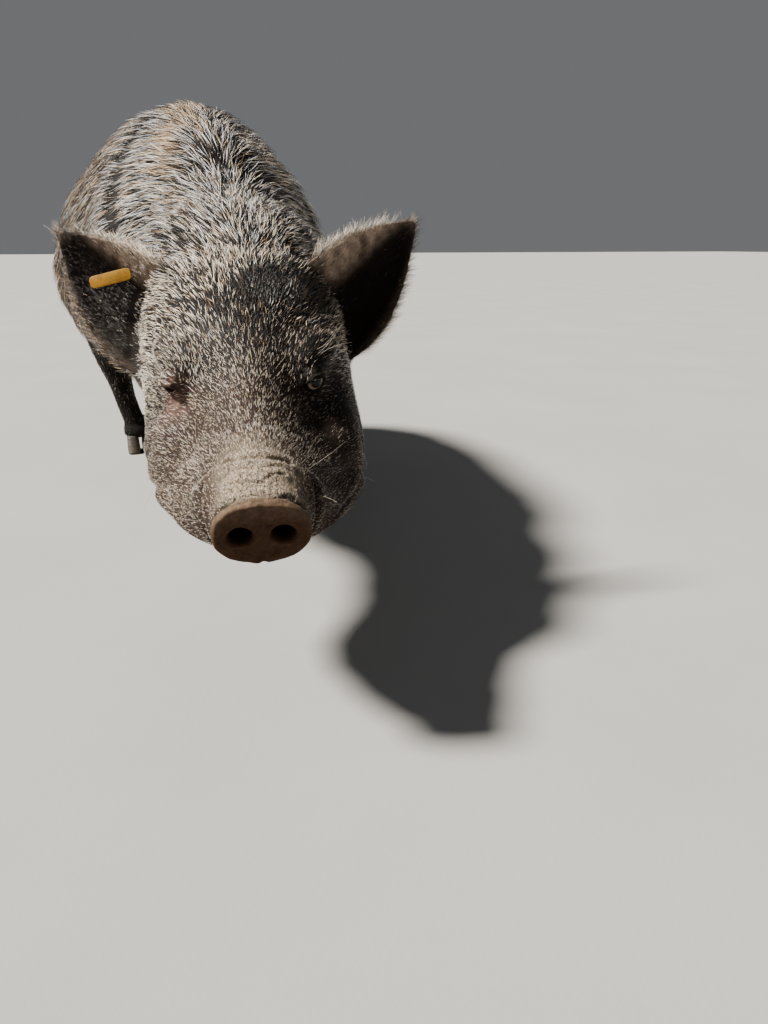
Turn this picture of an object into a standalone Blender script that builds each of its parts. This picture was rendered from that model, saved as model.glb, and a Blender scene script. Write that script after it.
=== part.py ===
"""A life-size standing pot-bellied pig, head lowered and turned a little to its right.

Metres, +Z up.  The pig faces -Y and its left side is at +X.  Lofted rings give the masses of the
body, a voxel remesh blends them into one form, and thin cuts part that form into its named pieces.
"""
import math

import bmesh
import bpy
from mathutils import Matrix, Vector

# ---------------------------------------------------------------- driving sizes
CUT = 0.0003              # gap between neighbouring pieces
BEYOND = 0.5              # further than any point of the pig, for cutters that run past it
RING = 24                 # points round a lofted ring
SIDES = {"right": -1, "left": 1}

# The trunk: distance behind the withers, back, underside, half width
TRUNK = (
    (-0.145, 0.372, 0.206, 0.076),
    (-0.105, 0.412, 0.186, 0.106),
    (-0.050, 0.455, 0.174, 0.130),
    (0.020, 0.488, 0.168, 0.141),
    (0.080, 0.504, 0.166, 0.143),
    (0.125, 0.511, 0.160, 0.146),
    (0.190, 0.514, 0.148, 0.168),
    (0.270, 0.515, 0.140, 0.181),
    (0.350, 0.512, 0.148, 0.182),
    (0.420, 0.501, 0.182, 0.170),
    (0.480, 0.477, 0.232, 0.144),
    (0.525, 0.443, 0.272, 0.108),
    (0.553, 0.405, 0.308, 0.066),
    (0.564, 0.378, 0.335, 0.030),
)
TRUNK_FULLNESS = 2.0      # 2 is an ellipse, more is squarer
TRUNK_NARROWING = 0.14    # how much narrower its back is than its belly

# The head's own frame: its origin is the centre of the snout disc
SNOUT = Vector((-0.055, -0.470, 0.171))
HEAD_YAW = math.radians(10)      # towards the pig's right
HEAD_PITCH = math.radians(20)     # nose down
HEAD_ROLL = math.radians(-0.5)

# The head: distance behind the disc, half width, top, underside, and how much narrower its top is
HEAD = (
    (0.000, 0.0345, 0.0262, -0.0282, 0.00),
    (0.004, 0.0362, 0.0277, -0.0297, 0.00),
    (0.011, 0.0358, 0.0270, -0.0305, 0.00),
    (0.020, 0.0342, 0.0240, -0.0345, 0.08),
    (0.035, 0.0425, 0.0240, -0.0480, 0.27),
    (0.055, 0.0525, 0.0255, -0.0615, 0.43),
    (0.080, 0.0625, 0.0275, -0.0725, 0.55),
    (0.105, 0.0705, 0.0300, -0.0800, 0.61),
    (0.130, 0.0780, 0.0370, -0.0850, 0.60),
    (0.155, 0.0845, 0.0500, -0.0885, 0.47),
    (0.185, 0.0895, 0.0670, -0.0890, 0.28),
    (0.220, 0.0925, 0.0790, -0.0890, 0.14),
    (0.260, 0.0935, 0.0850, -0.0860, 0.05),
    (0.290, 0.0945, 0.0870, -0.0840, 0.03),
)
HEAD_FULLNESS = 2.25
HEAD_HEIGHT = 0.080        # half of it, at the cheeks
JOWL_SWAY = 0.0090         # how far the throat hangs to the pig's left, with the head turned
HEAD_END = 0.272          # where the head is parted from the neck
SNOUT_END = 0.060         # where the snout is parted from the head
MOUTH = (0.016, 0.118, -0.034)             # the lower jaw's cut: from and to behind the disc, and up

# The neck joins the head's last rings to the chest: middle of the ring, half width, half height
NAPE_RING = (0.220, -0.006, 0.091, 0.080)  # the first, inside the head: behind the disc, up, sizes
NECK = (
    ((-0.010, -0.195, 0.268), 0.096, 0.094),
    ((-0.004, -0.145, 0.286), 0.108, 0.104),
    ((0.000, -0.060, 0.314), 0.098, 0.096),
)
NECK_FULLNESS = 2.1
NECK_END = -0.100         # where the neck is parted from the trunk

EYE_RADIUS = 0.0115
LID_RADIUS, LID_SETBACK = 0.0150, 0.0045   # the lids' mass round the eyeball, and how far back it is
EYE_LOOK = Vector((0.80, -0.55, 0.22)).normalized()    # the way an eye looks: outwards, back, up
# The eyeballs' middles: behind the disc, outwards, up
EYES = {"right": (0.1595, 0.0555, 0.0230), "left": (0.1560, 0.0468, 0.0218)}
BROW = (0.186, 0.0450, 0.0350, 0.022)      # the same for the brow's bulge, and its radius
BROW_STRETCH = (1.45, 1.50, 0.75)
CHEEK = (0.148, 0.0560, -0.0320, 0.034)    # the jowl's bulge
CHEEK_STRETCH = (1.0, 1.3, 1.1)
NOSTRIL_SPACING = 0.028
NOSTRIL = (0.0068, 0.0058)                 # half width, half height
NOSTRIL_DEPTH, NOSTRIL_SPREAD = 0.018, 0.1
NOSTRIL_RINGS = ((-0.010, 1.15), (0.002, 1.0), (NOSTRIL_DEPTH, 0.6))    # behind the disc, size

# Ears: middle of the root and the tip, both behind the disc, outwards and up, and the way the
# hollow faces, as outwards, backwards and up
EARS = {
    "right": ((0.249, 0.076, 0.024), (0.312, 0.153, 0.086), (0.22, -0.86, 0.44)),
    "left": ((0.252, 0.076, 0.030), (0.302, 0.160, 0.097), (0.20, -0.87, 0.45)),
}
EAR_WIDTH = 0.094
EAR_THICKNESS = 0.0055
EAR_ROWS, EAR_COLUMNS = 7, 6
EAR_SUNK = 0.16                              # the share of the ear that the head hides
EAR_CURL = (1.15, 0.65)                      # half the section's arc at the root, and its loss
EAR_BELLY = 0.001                            # how far the outer edge bows

TAG_LENGTH, TAG_WIDTH, TAG_THICKNESS = 0.036, 0.0100, 0.0022
TAG_PIN_RADIUS, TAG_BUTTON_RADIUS = 0.0020, 0.0060
TAG_LIFT, TAG_LIFT_BEHIND = 0.0036, 0.0020   # off the ear's middle, before and behind
TAG_FROM, TAG_TO = (0.52, 0.28), (0.65, -0.49)   # share of the ear's length, edge to edge
TAG_CORNER, TAG_OVERHANG = 0.35, 0.36        # shares of the bar's width and length
TAG_RIM = 0.0012                             # the height of the button's straight edge
TAG_HOLE = (-0.02, 0.03)                     # the reach of the hole's cutter along the pin

TAIL_LENGTH = 0.190
TAIL_ROOT_RADIUS, TAIL_TIP_RADIUS = 0.0150, 0.0055
TAIL_ROOT = (0.0, 0.520, 0.420)
TAIL_STEPS, TAIL_SIDES = 9, 8
TAIL_FALL = (28, 86, 2.2)       # degrees below level at its root and its tip, and how soon
TAIL_SWING = 0.06               # to the pig's left

# Feet on the floor, across and behind the withers
FORE_FOOT = {"right": (-0.034, 0.058), "left": (0.074, -0.004)}
HIND_FOOT = {"right": (-0.086, 0.437), "left": (0.086, 0.478)}
HOOF_TOP = 0.030
HOOF_LENGTH, HOOF_WIDTH = 0.042, 0.0215
HOOF_CLEFT = 0.0030
HOOF_AHEAD = 0.006        # the claws' middles stand this far ahead of the foot's
# Rings of a claw: height, size, and how far it leans back
HOOF_RINGS = (
    (0.000, 0.97, 0.0000),
    (0.003, 1.00, 0.0010),
    (0.014, 0.97, 0.0050),
    (HOOF_TOP - CUT, 0.88, 0.0115),
)
HOOF_HEEL = ((-0.46, 0.36), (0.0, 0.44), (0.46, 0.36))    # shares of the width and the length
DEWCLAW_TOP, DEWCLAW_TIP = (0.0110, 0.021, 0.055), (0.0130, 0.035, 0.035)
DEWCLAW_RINGS = ((0, 0.0066), (0.45, 0.0068), (0.82, 0.0052), (1, 0.0028))   # share, radius

# Legs, down from the shoulder or hip: outwards, back, height, half width, half depth.  The rows
# of the upper part stand free of the foot; those of the lower part are given from its middle.
FORELEG_TOP = ((0.078, 0.022, 0.370, 0.036, 0.060), (0.087, 0.028, 0.280, 0.053, 0.076))
ELBOW, ELBOW_SHARE = (0.072, 0.040, 0.215, 0.044, 0.060), (0.10, 0.25)
FOREARM = (0.004, 0.163, 0.034, 0.042)    # back, height, half width, half depth
KNEE, KNEE_SHARE = (0.012, 0.112, 0.0275, 0.0290), 0.90   # outwards, height and sizes
FORE_SHANK = (
    (0.005, 0.008, 0.075, 0.0225, 0.0235),
    (0.000, 0.007, 0.045, 0.0242, 0.0250),
    (0.000, 0.003, 0.020, 0.0232, 0.0230),
)
HINDLEG_TOP = (0.086, 0.405, 0.395, 0.050, 0.075)
HAM = (                                   # outwards from the middle, back from the foot
    (0.104, -0.045, 0.310, 0.064, 0.100),
    (0.108, -0.025, 0.245, 0.058, 0.080),
    (0.112, 0.008, 0.192, 0.043, 0.052),
)
HIND_SHANK = (
    (0.026, 0.034, 0.148, 0.0300, 0.0360),
    (0.019, 0.026, 0.105, 0.0230, 0.0265),
    (0.011, 0.015, 0.070, 0.0225, 0.0240),
    (0.002, 0.008, 0.045, 0.0245, 0.0255),
    (0.000, 0.003, 0.020, 0.0234, 0.0232),
)
LEG_FULLNESS = 2.2
# The cuts round the legs: outlines of outwards and height, from and to behind the withers, and
# the height at which the lower leg is parted
FORELEG_CUT = ((0.003, -0.020), (0.003, 0.152), (0.100, 0.168), (0.250, 0.168), (0.250, -0.020))
HINDLEG_CUT = ((0.018, -0.020), (0.018, 0.190), (0.165, 0.300), (0.250, 0.330), (0.250, -0.020))
FORELEG_SPAN, HINDLEG_SPAN = (-0.085, 0.135), (0.330, 0.700)
FORELEG_JOINT, HINDLEG_JOINT = 0.104, 0.140

BODY_VOXEL, HEAD_VOXEL = 0.010, 0.005
BODY_SOFTENING, HEAD_SOFTENING = 9, 4       # rounds of smoothing
BODY_KEEP, HEAD_KEEP = 0.092, 0.073         # shares of the triangles that the decimation keeps

COLOURS = {
    "coat": ((0.050, 0.044, 0.040), 0.70, 0.0),
    "disc": ((0.100, 0.070, 0.055), 0.50, 0.0),
    "eye": ((0.060, 0.035, 0.020), 0.10, 0.0),
    "hoof": ((0.045, 0.038, 0.032), 0.55, 0.0),
    "tag": ((0.850, 0.420, 0.020), 0.40, 0.0),
}


# ---------------------------------------------------------------- scene and small helpers
def clear_scene():
    for old in list(bpy.data.objects):
        bpy.data.objects.remove(old, do_unlink=True)


def material(name):
    found = bpy.data.materials.get(name)
    if found:
        return found
    colour, roughness, metallic = COLOURS[name]
    made = bpy.data.materials.new(name)
    made.use_nodes = True
    shader = made.node_tree.nodes["Principled BSDF"]
    shader.inputs["Base Color"].default_value = (*colour, 1.0)
    shader.inputs["Roughness"].default_value = roughness
    shader.inputs["Metallic"].default_value = metallic
    made.diffuse_color = (*colour, 1.0)
    return made


def add_object(name, mesh, finish=None):
    made = bpy.data.objects.new(name, mesh)
    bpy.context.scene.collection.objects.link(made)
    if finish:
        mesh.materials.clear()
        mesh.materials.append(material(finish))
    return made


def evaluated(source):
    """A plain mesh of the object with its modifiers applied."""
    bpy.context.view_layer.update()
    graph = bpy.context.evaluated_depsgraph_get()
    return bpy.data.meshes.new_from_object(source.evaluated_get(graph), depsgraph=graph)


def settle(target):
    """Applies the object's modifiers."""
    mesh = evaluated(target)
    target.modifiers.clear()
    target.data = mesh
    return target


def loft(builder, rings):
    """A closed tube through the rings, added to the mesh being built."""
    rows = [[builder.verts.new(point) for point in ring] for ring in rings]
    for first, second in zip(rows, rows[1:]):
        for k in range(len(first)):
            nxt = (k + 1) % len(first)
            builder.faces.new((first[k], first[nxt], second[nxt], second[k]))
    builder.faces.new(list(reversed(rows[0])))
    builder.faces.new(rows[-1])


def mesh_of(name, *builds):
    """A mesh of closed tubes and bulges, each given as a function that adds to it."""
    builder = bmesh.new()
    for build in builds:
        build(builder)
    bmesh.ops.recalc_face_normals(builder, faces=builder.faces)
    mesh = bpy.data.meshes.new(name)
    builder.to_mesh(mesh)
    builder.free()
    return mesh


def smooth_between(rows, steps):
    """Rows of numbers with Catmull-Rom steps between them."""
    made = []
    for i in range(len(rows) - 1):
        before, here = rows[max(i - 1, 0)], rows[i]
        there, after = rows[i + 1], rows[min(i + 2, len(rows) - 1)]
        for step in range(steps):
            t = step / steps
            made.append([
                0.5 * (2 * b + (c - a) * t + (2 * a - 5 * b + 4 * c - d) * t * t
                       + (3 * b - a - 3 * c + d) * t ** 3)
                for a, b, c, d in zip(before, here, there, after)
            ])
    return made + [list(rows[-1])]


def rounded(angle, fullness):
    """A point of the unit superellipse."""
    c, s = math.cos(angle), math.sin(angle)
    power = 2 / fullness
    return math.copysign(abs(c) ** power, c), math.copysign(abs(s) ** power, s)


def oval(middle, across, up, half_width, half_height, fullness, narrowing=0.0):
    """A ring round a middle point; its top can be narrower than its foot."""
    points = []
    for k in range(RING):
        c, s = rounded(2 * math.pi * k / RING, fullness)
        points.append(middle + across * (half_width * c * (1 - narrowing * s))
                      + up * (half_height * s))
    return points


def ball(builder, middle, radius, stretch=(1, 1, 1), turn=None):
    place = Matrix.Translation(middle) @ (turn.to_4x4() if turn else Matrix.Identity(4))
    place = place @ Matrix.Diagonal((*[radius * k for k in stretch], 1))
    bmesh.ops.create_uvsphere(builder, u_segments=20, v_segments=12, radius=1, matrix=place)


# ---------------------------------------------------------------- the head's frame
def head_axes():
    """Columns: to the pig's left, backwards along the head, up."""
    yaw = Matrix.Rotation(-HEAD_YAW, 3, "Z")
    pitch = Matrix.Rotation(HEAD_PITCH, 3, "X")
    roll = Matrix.Rotation(HEAD_ROLL, 3, "Y")
    return yaw @ pitch @ roll


HEAD_AXES = head_axes()
HEAD_LEFT, HEAD_BACK, HEAD_UP = HEAD_AXES.col[0], HEAD_AXES.col[1], HEAD_AXES.col[2]


def on_head(back, out, up):
    """A point from its distance behind the snout disc, outwards to the left, and up."""
    return SNOUT + HEAD_BACK * back + HEAD_LEFT * out + HEAD_UP * up


# ---------------------------------------------------------------- the body's masses
def add_trunk(builder):
    across, up = Vector((1, 0, 0)), Vector((0, 0, 1))
    rings = []
    for back, top, bottom, half_width in smooth_between(TRUNK, 2):
        middle = Vector((0, back, (top + bottom) / 2))
        rings.append(oval(middle, across, up, half_width, (top - bottom) / 2, TRUNK_FULLNESS,
                          TRUNK_NARROWING))
    loft(builder, rings)


def jowl_sway(back, drop):
    """The sideways hang of the jowls at a share of the way down from the head's middle line."""
    share = min(1.0, max(0.0, (back - HEAD[4][0]) / (HEAD[8][0] - HEAD[4][0])))
    return JOWL_SWAY * max(0.0, drop) * math.sin(math.pi / 2 * share)


def add_head(builder):
    rings = []
    for back, half_width, top, bottom, narrowing in smooth_between(HEAD, 2):
        middle = on_head(back, 0, (top + bottom) / 2)
        half_height = (top - bottom) / 2
        ring = oval(middle, HEAD_LEFT, HEAD_UP, half_width, half_height, HEAD_FULLNESS, narrowing)
        drops = [(middle - point).dot(HEAD_UP) / half_height for point in ring]
        rings.append([point + HEAD_LEFT * jowl_sway(back, drop)
                      for point, drop in zip(ring, drops)])
    loft(builder, rings)


def add_head_bulges(builder):
    for side in SIDES.values():
        back, out, up, radius = BROW
        ball(builder, on_head(back, side * out, up), radius, BROW_STRETCH, HEAD_AXES)
        back, out, up, radius = CHEEK
        out = side * out + jowl_sway(back, -up / HEAD_HEIGHT)
        ball(builder, on_head(back, out, up), radius, CHEEK_STRETCH, HEAD_AXES)
    for name, side in SIDES.items():
        back, out, up = EYES[name]
        setback = EYE_LOOK * LID_SETBACK
        ball(builder, on_head(back - setback.y, side * (out - setback.x), up - setback.z),
             LID_RADIUS)


def add_neck(builder):
    back, up, half_width, half_height = NAPE_RING
    rows = [(*on_head(back, 0, up), half_width, half_height)]
    rows += [(*middle, w, h) for middle, w, h in NECK]
    rows = smooth_between(rows, 3)
    rings = []
    for i, (x, y, z, half_width, half_height) in enumerate(rows):
        here = Vector((x, y, z))
        nearer, further = rows[max(i - 1, 0)], rows[min(i + 1, len(rows) - 1)]
        along = (Vector(further[:3]) - Vector(nearer[:3])).normalized()
        across = along.cross(Vector((0, 0, 1))).normalized()
        up = across.cross(along)
        rings.append(oval(here, across, up, half_width, half_height, NECK_FULLNESS))
    loft(builder, rings)


def limb(builder, rows):
    """A leg from its hip or shoulder down: x, y, z, half width, half depth."""
    rings = []
    for x, y, z, half_width, half_depth in smooth_between(rows, 3):
        rings.append(oval(Vector((x, y, z)), Vector((1, 0, 0)), Vector((0, -1, 0)), half_width,
                          half_depth, LEG_FULLNESS))
    loft(builder, rings)


def outwards(sign, rows, middle=(0.0, 0.0)):
    """Rows given outwards and back from a middle, as rows in the body's frame."""
    return [(middle[0] + sign * out, middle[1] + back, *rest) for out, back, *rest in rows]


def foreleg_rows(side):
    sign = SIDES[side]
    foot_x, foot_y = FORE_FOOT[side]
    elbow_x = sign * ELBOW[0] + foot_x * ELBOW_SHARE[0]
    elbow_y = ELBOW[1] + foot_y * ELBOW_SHARE[1]
    knee_x, knee_y = foot_x + sign * KNEE[0], foot_y * KNEE_SHARE
    middle = [
        (elbow_x, elbow_y, *ELBOW[2:]),
        ((elbow_x + knee_x) / 2, (elbow_y + knee_y) / 2 + FOREARM[0], *FOREARM[1:]),
        (knee_x, knee_y, *KNEE[1:]),
    ]
    shank = outwards(sign, FORE_SHANK, (foot_x, foot_y))
    return outwards(sign, FORELEG_TOP) + middle + shank


def hindleg_rows(side):
    sign = SIDES[side]
    foot = HIND_FOOT[side]
    ham = outwards(sign, HAM, (0.0, foot[1]))
    return outwards(sign, [HINDLEG_TOP]) + ham + outwards(sign, HIND_SHANK, foot)


def flesh_mesh():
    """The masses of the whole body, still crossing each other."""
    builds = [add_trunk, add_neck, add_head, add_head_bulges]
    for side in SIDES:
        builds.append(lambda builder, rows=foreleg_rows(side): limb(builder, rows))
        builds.append(lambda builder, rows=hindleg_rows(side): limb(builder, rows))
    return mesh_of("flesh", *builds)


def blended(name, mesh, voxel, rounds, keep):
    """One smooth closed form from masses that cross each other."""
    form = add_object(name, mesh.copy())
    remesh = form.modifiers.new("Blend", "REMESH")
    remesh.mode = "VOXEL"
    remesh.voxel_size = voxel
    soften = form.modifiers.new("Soften", "SMOOTH")
    soften.factor, soften.iterations = 0.5, rounds
    thin = form.modifiers.new("Thin out", "DECIMATE")
    thin.ratio = keep
    return settle(form)


# ---------------------------------------------------------------- cuts
def prism(name, outline, low, high, axis):
    """A cutter: an outline of two coordinates drawn out along the third axis."""
    builder = bmesh.new()
    order = {"X": (2, 0, 1), "Y": (0, 2, 1), "Z": (0, 1, 2)}[axis]

    def at(point, level):
        triple = (*point, level)
        return Vector([triple[order[k]] for k in range(3)])

    rings = [[builder.verts.new(at(point, level)) for point in outline] for level in (low, high)]
    for k in range(len(outline)):
        nxt = (k + 1) % len(outline)
        builder.faces.new((rings[0][k], rings[0][nxt], rings[1][nxt], rings[1][k]))
    builder.faces.new(list(reversed(rings[0])))
    builder.faces.new(rings[1])
    bmesh.ops.recalc_face_normals(builder, faces=builder.faces)
    mesh = bpy.data.meshes.new(name)
    builder.to_mesh(mesh)
    builder.free()
    return cutter(name, mesh)


def cutter(name, mesh):
    made = add_object(name, mesh)
    made.hide_render = True
    made.display_type = "WIRE"
    return made


def grown(name, source, by):
    """A cutter of the source's own shape, larger by a small margin."""
    made = cutter(name, evaluated(source))
    swell = made.modifiers.new("Swell", "DISPLACE")
    swell.mid_level, swell.strength = 0.0, by
    return settle(made)


def boolean(target, tool, operation):
    cut = target.modifiers.new("Cut", "BOOLEAN")
    cut.object, cut.operation, cut.solver = tool, operation, "EXACT"
    settle(target)
    bpy.data.objects.remove(tool, do_unlink=True)
    return target


def parted(source, name, tool, finish):
    """Takes what lies inside the tool out of the source as a piece of its own, a thin gap apart."""
    piece = add_object(name, source.data.copy(), finish)
    wider = grown(name + "_gap", tool, CUT)
    boolean(piece, tool, "INTERSECT")
    boolean(source, wider, "DIFFERENCE")
    return piece


def head_slab(name, back_from, back_to, up_to=BEYOND):
    """A box in the head's own frame, over a stretch of its length."""
    slab = prism(name, ((-BEYOND, back_from), (BEYOND, back_from), (BEYOND, back_to),
                        (-BEYOND, back_to)), -BEYOND, up_to, "Z")
    place = Matrix.Translation(SNOUT) @ HEAD_AXES.to_4x4()
    slab.data.transform(place)
    return slab


def kept_side(source, plane_point, plane_normal):
    """Removes all on the normal's side of the plane and caps the cut."""
    builder = bmesh.new()
    builder.from_mesh(source.data)
    geometry = builder.verts[:] + builder.edges[:] + builder.faces[:]
    found = bmesh.ops.bisect_plane(builder, geom=geometry, plane_co=plane_point,
                                   plane_no=plane_normal, clear_outer=True)
    edges = [item for item in found["geom_cut"] if isinstance(item, bmesh.types.BMEdge)]
    bmesh.ops.triangle_fill(builder, use_beauty=True, edges=edges)
    bmesh.ops.recalc_face_normals(builder, faces=builder.faces)
    builder.to_mesh(source.data)
    builder.free()
    return source


# ---------------------------------------------------------------- ears, tag, eyes, hooves, tail
def ear_frame(side):
    """Root, length and axes of an ear: across it, along it to the tip, and out of its hollow."""
    root, tip, facing = EARS[side]
    sign = SIDES[side]
    start = on_head(root[0], sign * root[1], root[2])
    end = on_head(tip[0], sign * tip[1], tip[2])
    along = (end - start).normalized()
    hollow = HEAD_LEFT * (sign * facing[0]) + HEAD_BACK * facing[1] + HEAD_UP * facing[2]
    hollow = (hollow - along * hollow.dot(along)).normalized()
    across = hollow.cross(along) * sign
    return start, (end - start).length, across, along, hollow


def ear_point(side, share, turn):
    """A point of the ear's middle surface: share runs from root to tip, turn from edge to edge.

    Turn is 1 at the edge towards the crown and -1 at the outer edge.
    """
    root, length, across, along, hollow = ear_frame(side)
    width = 0.5 * EAR_WIDTH * (0.86 + 0.8 * share - share ** 2) * (1 - share ** 2.2) ** 0.72
    curl = EAR_CURL[0] - EAR_CURL[1] * share
    radius = width / math.sin(curl)
    sideways = radius * math.sin(curl * turn)
    depth = radius * (1 - math.cos(curl * turn))
    belly = EAR_BELLY * math.sin(math.pi * share) * max(0.0, -turn)
    forward = length * (share * (1 + EAR_SUNK) - EAR_SUNK)
    return (root + along * forward + across * (sideways - belly)
            + hollow * (depth - 0.45 * width))


def add_ear(name, side):
    rows, columns, tip = EAR_ROWS, EAR_COLUMNS, 0.985
    builder = bmesh.new()
    grid = []
    for i in range(rows + 1):
        share = tip * i / rows
        grid.append([builder.verts.new(ear_point(side, share, 2 * j / columns - 1))
                     for j in range(columns + 1)])
    for i in range(rows):
        for j in range(columns):
            builder.faces.new((grid[i][j], grid[i][j + 1], grid[i + 1][j + 1], grid[i + 1][j]))
    bmesh.ops.recalc_face_normals(builder, faces=builder.faces)
    mesh = bpy.data.meshes.new(name)
    builder.to_mesh(mesh)
    builder.free()
    ear = add_object(name, mesh, "coat")
    wall = ear.modifiers.new("Wall", "SOLIDIFY")
    wall.thickness, wall.offset = EAR_THICKNESS, 0.0
    return settle(ear)


def turned(name, finish, place, rows, count):
    """A solid turned about its own Z: height and radius of each ring, placed by a matrix."""
    builder = bmesh.new()
    rings = [[place @ Vector((radius * math.cos(2 * math.pi * k / count),
                              radius * math.sin(2 * math.pi * k / count), height))
              for k in range(count)] for height, radius in rows]
    loft(builder, rings)
    bmesh.ops.recalc_face_normals(builder, faces=builder.faces)
    mesh = bpy.data.meshes.new(name)
    builder.to_mesh(mesh)
    builder.free()
    return add_object(name, mesh, finish)


def frame_at(place, normal, along):
    """A matrix whose Z is the normal and whose X runs along."""
    z = normal.normalized()
    y = z.cross(along).normalized()
    x = y.cross(z)
    turn = Matrix((x, y, z)).transposed().to_4x4()
    return Matrix.Translation(place) @ turn


def add_tag(ear):
    """The ear tag: a bar on the hollow side, a button behind, and a pin through the ear."""
    hollow = ear_frame("right")[4]
    middle = ear_point("right", *TAG_FROM)
    lengthways = (ear_point("right", *TAG_TO) - middle).normalized()
    normal = (hollow - lengthways * hollow.dot(lengthways)).normalized()
    lift = EAR_THICKNESS / 2 + TAG_LIFT
    face = frame_at(middle + normal * lift, normal, lengthways)
    # The bar lies from the pin outwards over the ear's hollow.
    corner = TAG_WIDTH * TAG_CORNER
    outline = []
    for cx, cy, start in ((1, 1, 0), (-1, 1, 1), (-1, -1, 2), (1, -1, 3)):
        for k in range(5):
            angle = math.pi / 2 * (start + k / 4)
            outline.append(((cx * (TAG_LENGTH / 2 - corner) + corner * math.cos(angle)
                             + TAG_LENGTH * TAG_OVERHANG),
                            cy * (TAG_WIDTH / 2 - corner) + corner * math.sin(angle)))
    bar = prism("tag_bar", outline, 0, TAG_THICKNESS, "Z")
    bar.hide_render = False
    bar.data.transform(face)
    bar.data.materials.append(material("tag"))
    lift_behind = EAR_THICKNESS / 2 + TAG_LIFT_BEHIND
    pin_length = lift + lift_behind
    behind = frame_at(middle - normal * lift_behind, normal, lengthways)
    button = turned("tag_button", "tag", behind, (
        (-TAG_THICKNESS, TAG_BUTTON_RADIUS * 0.6), (-TAG_RIM, TAG_BUTTON_RADIUS),
        (0, TAG_BUTTON_RADIUS)), 12)
    pin = turned("tag_pin", "tag", behind, (
        (CUT, TAG_PIN_RADIUS), (pin_length - CUT, TAG_PIN_RADIUS)), 8)
    hole = turned("hole", None, behind, [
        (reach, TAG_PIN_RADIUS + 2 * CUT) for reach in TAG_HOLE], 8)
    hole.hide_render = True
    boolean(ear, hole, "DIFFERENCE")
    return bar, button, pin


def add_eye(name, side, grow=0.0):
    back, out, up = EYES[side]
    place = Matrix.Translation(on_head(back, SIDES[side] * out, up)) @ HEAD_AXES.to_4x4()
    builder = bmesh.new()
    bmesh.ops.create_uvsphere(builder, u_segments=12, v_segments=8, radius=EYE_RADIUS + grow,
                              matrix=place)
    mesh = bpy.data.meshes.new(name)
    builder.to_mesh(mesh)
    builder.free()
    return add_object(name, mesh, None if grow else "eye")


def hoof_outline(length, width, outer):
    """Half a foot's sole, rounded at the toe: the outer side bows out, the inner side is straight."""
    points = []
    for k in range(9):
        angle = math.pi * k / 8
        toe = math.sin(angle)
        across = width / 2 * math.cos(angle)
        eased = 0.10 * length if k in (0, 8) else 0.0
        points.append((across, eased - length * (0.42 + 0.16 * toe)))
    points += [(width * x, length * y) for x, y in HOOF_HEEL]
    return [(outer * x, y) for x, y in points]


def add_hoof(name, foot_x, foot_y, outer):
    """One main claw of a foot: flat sole, sloping front wall, level top."""
    width = HOOF_WIDTH
    middle_x = foot_x + outer * (HOOF_CLEFT + width) / 2
    rings = []
    for height, size, lean in HOOF_RINGS:
        rings.append([Vector((middle_x + x * size, foot_y + y * size + lean - HOOF_AHEAD, height))
                      for x, y in hoof_outline(HOOF_LENGTH, width, outer)])
    builder = bmesh.new()
    loft(builder, rings)
    bmesh.ops.recalc_face_normals(builder, faces=builder.faces)
    mesh = bpy.data.meshes.new(name)
    builder.to_mesh(mesh)
    builder.free()
    return add_object(name, mesh, "hoof")


def add_dewclaw(name, leg, foot_x, foot_y, outer):
    """A small claw behind the foot, clear of the floor, set in the leg that it grows from."""
    foot = Vector((foot_x, foot_y, 0))
    top, tip = [foot + Vector((outer * x, y, z)) for x, y, z in (DEWCLAW_TOP, DEWCLAW_TIP)]
    place = frame_at(top, tip - top, Vector((1, 0, 0)))
    length = (tip - top).length
    claw = turned(name, "hoof", place, [(length * share, radius)
                                        for share, radius in DEWCLAW_RINGS], 8)
    boolean(leg, grown(name + "_gap", claw, 2 * CUT), "DIFFERENCE")


def add_tail(trunk):
    """A straight tail that hangs with a slight swing to the pig's left."""
    steps, count = TAIL_STEPS, TAIL_SIDES
    start = Vector(TAIL_ROOT)
    rings = []
    for i in range(steps + 1):
        t = i / steps
        level, hanging, haste = TAIL_FALL
        fall = math.radians(level + (hanging - level) * min(1.0, t * haste))
        swing = TAIL_SWING * math.sin(2.4 * t)
        along = Vector((swing, math.cos(fall), -math.sin(fall)))
        if i:
            start = start + along.normalized() * (TAIL_LENGTH / steps)
        across = Vector((1, 0, 0))
        up = across.cross(along).normalized()
        radius = TAIL_ROOT_RADIUS + (TAIL_TIP_RADIUS - TAIL_ROOT_RADIUS) * t ** 0.8
        rings.append([start + across * (radius * math.cos(2 * math.pi * k / count))
                      + up * (radius * math.sin(2 * math.pi * k / count)) for k in range(count)])
    builder = bmesh.new()
    loft(builder, rings)
    bmesh.ops.recalc_face_normals(builder, faces=builder.faces)
    mesh = bpy.data.meshes.new("tail")
    builder.to_mesh(mesh)
    builder.free()
    tail = add_object("tail", mesh, "coat")
    boolean(tail, grown("tail_gap", trunk, CUT), "DIFFERENCE")
    keep_largest(tail)


def nostril_cutter(side):
    """A tapering oval hole that runs back into the snout."""
    sign = SIDES[side]
    rings = []
    for back, size in NOSTRIL_RINGS:
        spread = NOSTRIL_SPREAD * back
        middle = on_head(back, sign * (NOSTRIL_SPACING / 2 - spread), spread - 0.001)
        ring = []
        for k in range(14):
            angle = 2 * math.pi * k / 14
            ring.append(middle + HEAD_LEFT * (NOSTRIL[0] * size * math.cos(angle))
                        + HEAD_UP * (NOSTRIL[1] * size * math.sin(angle)))
        rings.append(ring)
    return cutter("nostril_" + side, mesh_of("nostril", lambda builder: loft(builder, rings)))


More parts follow.
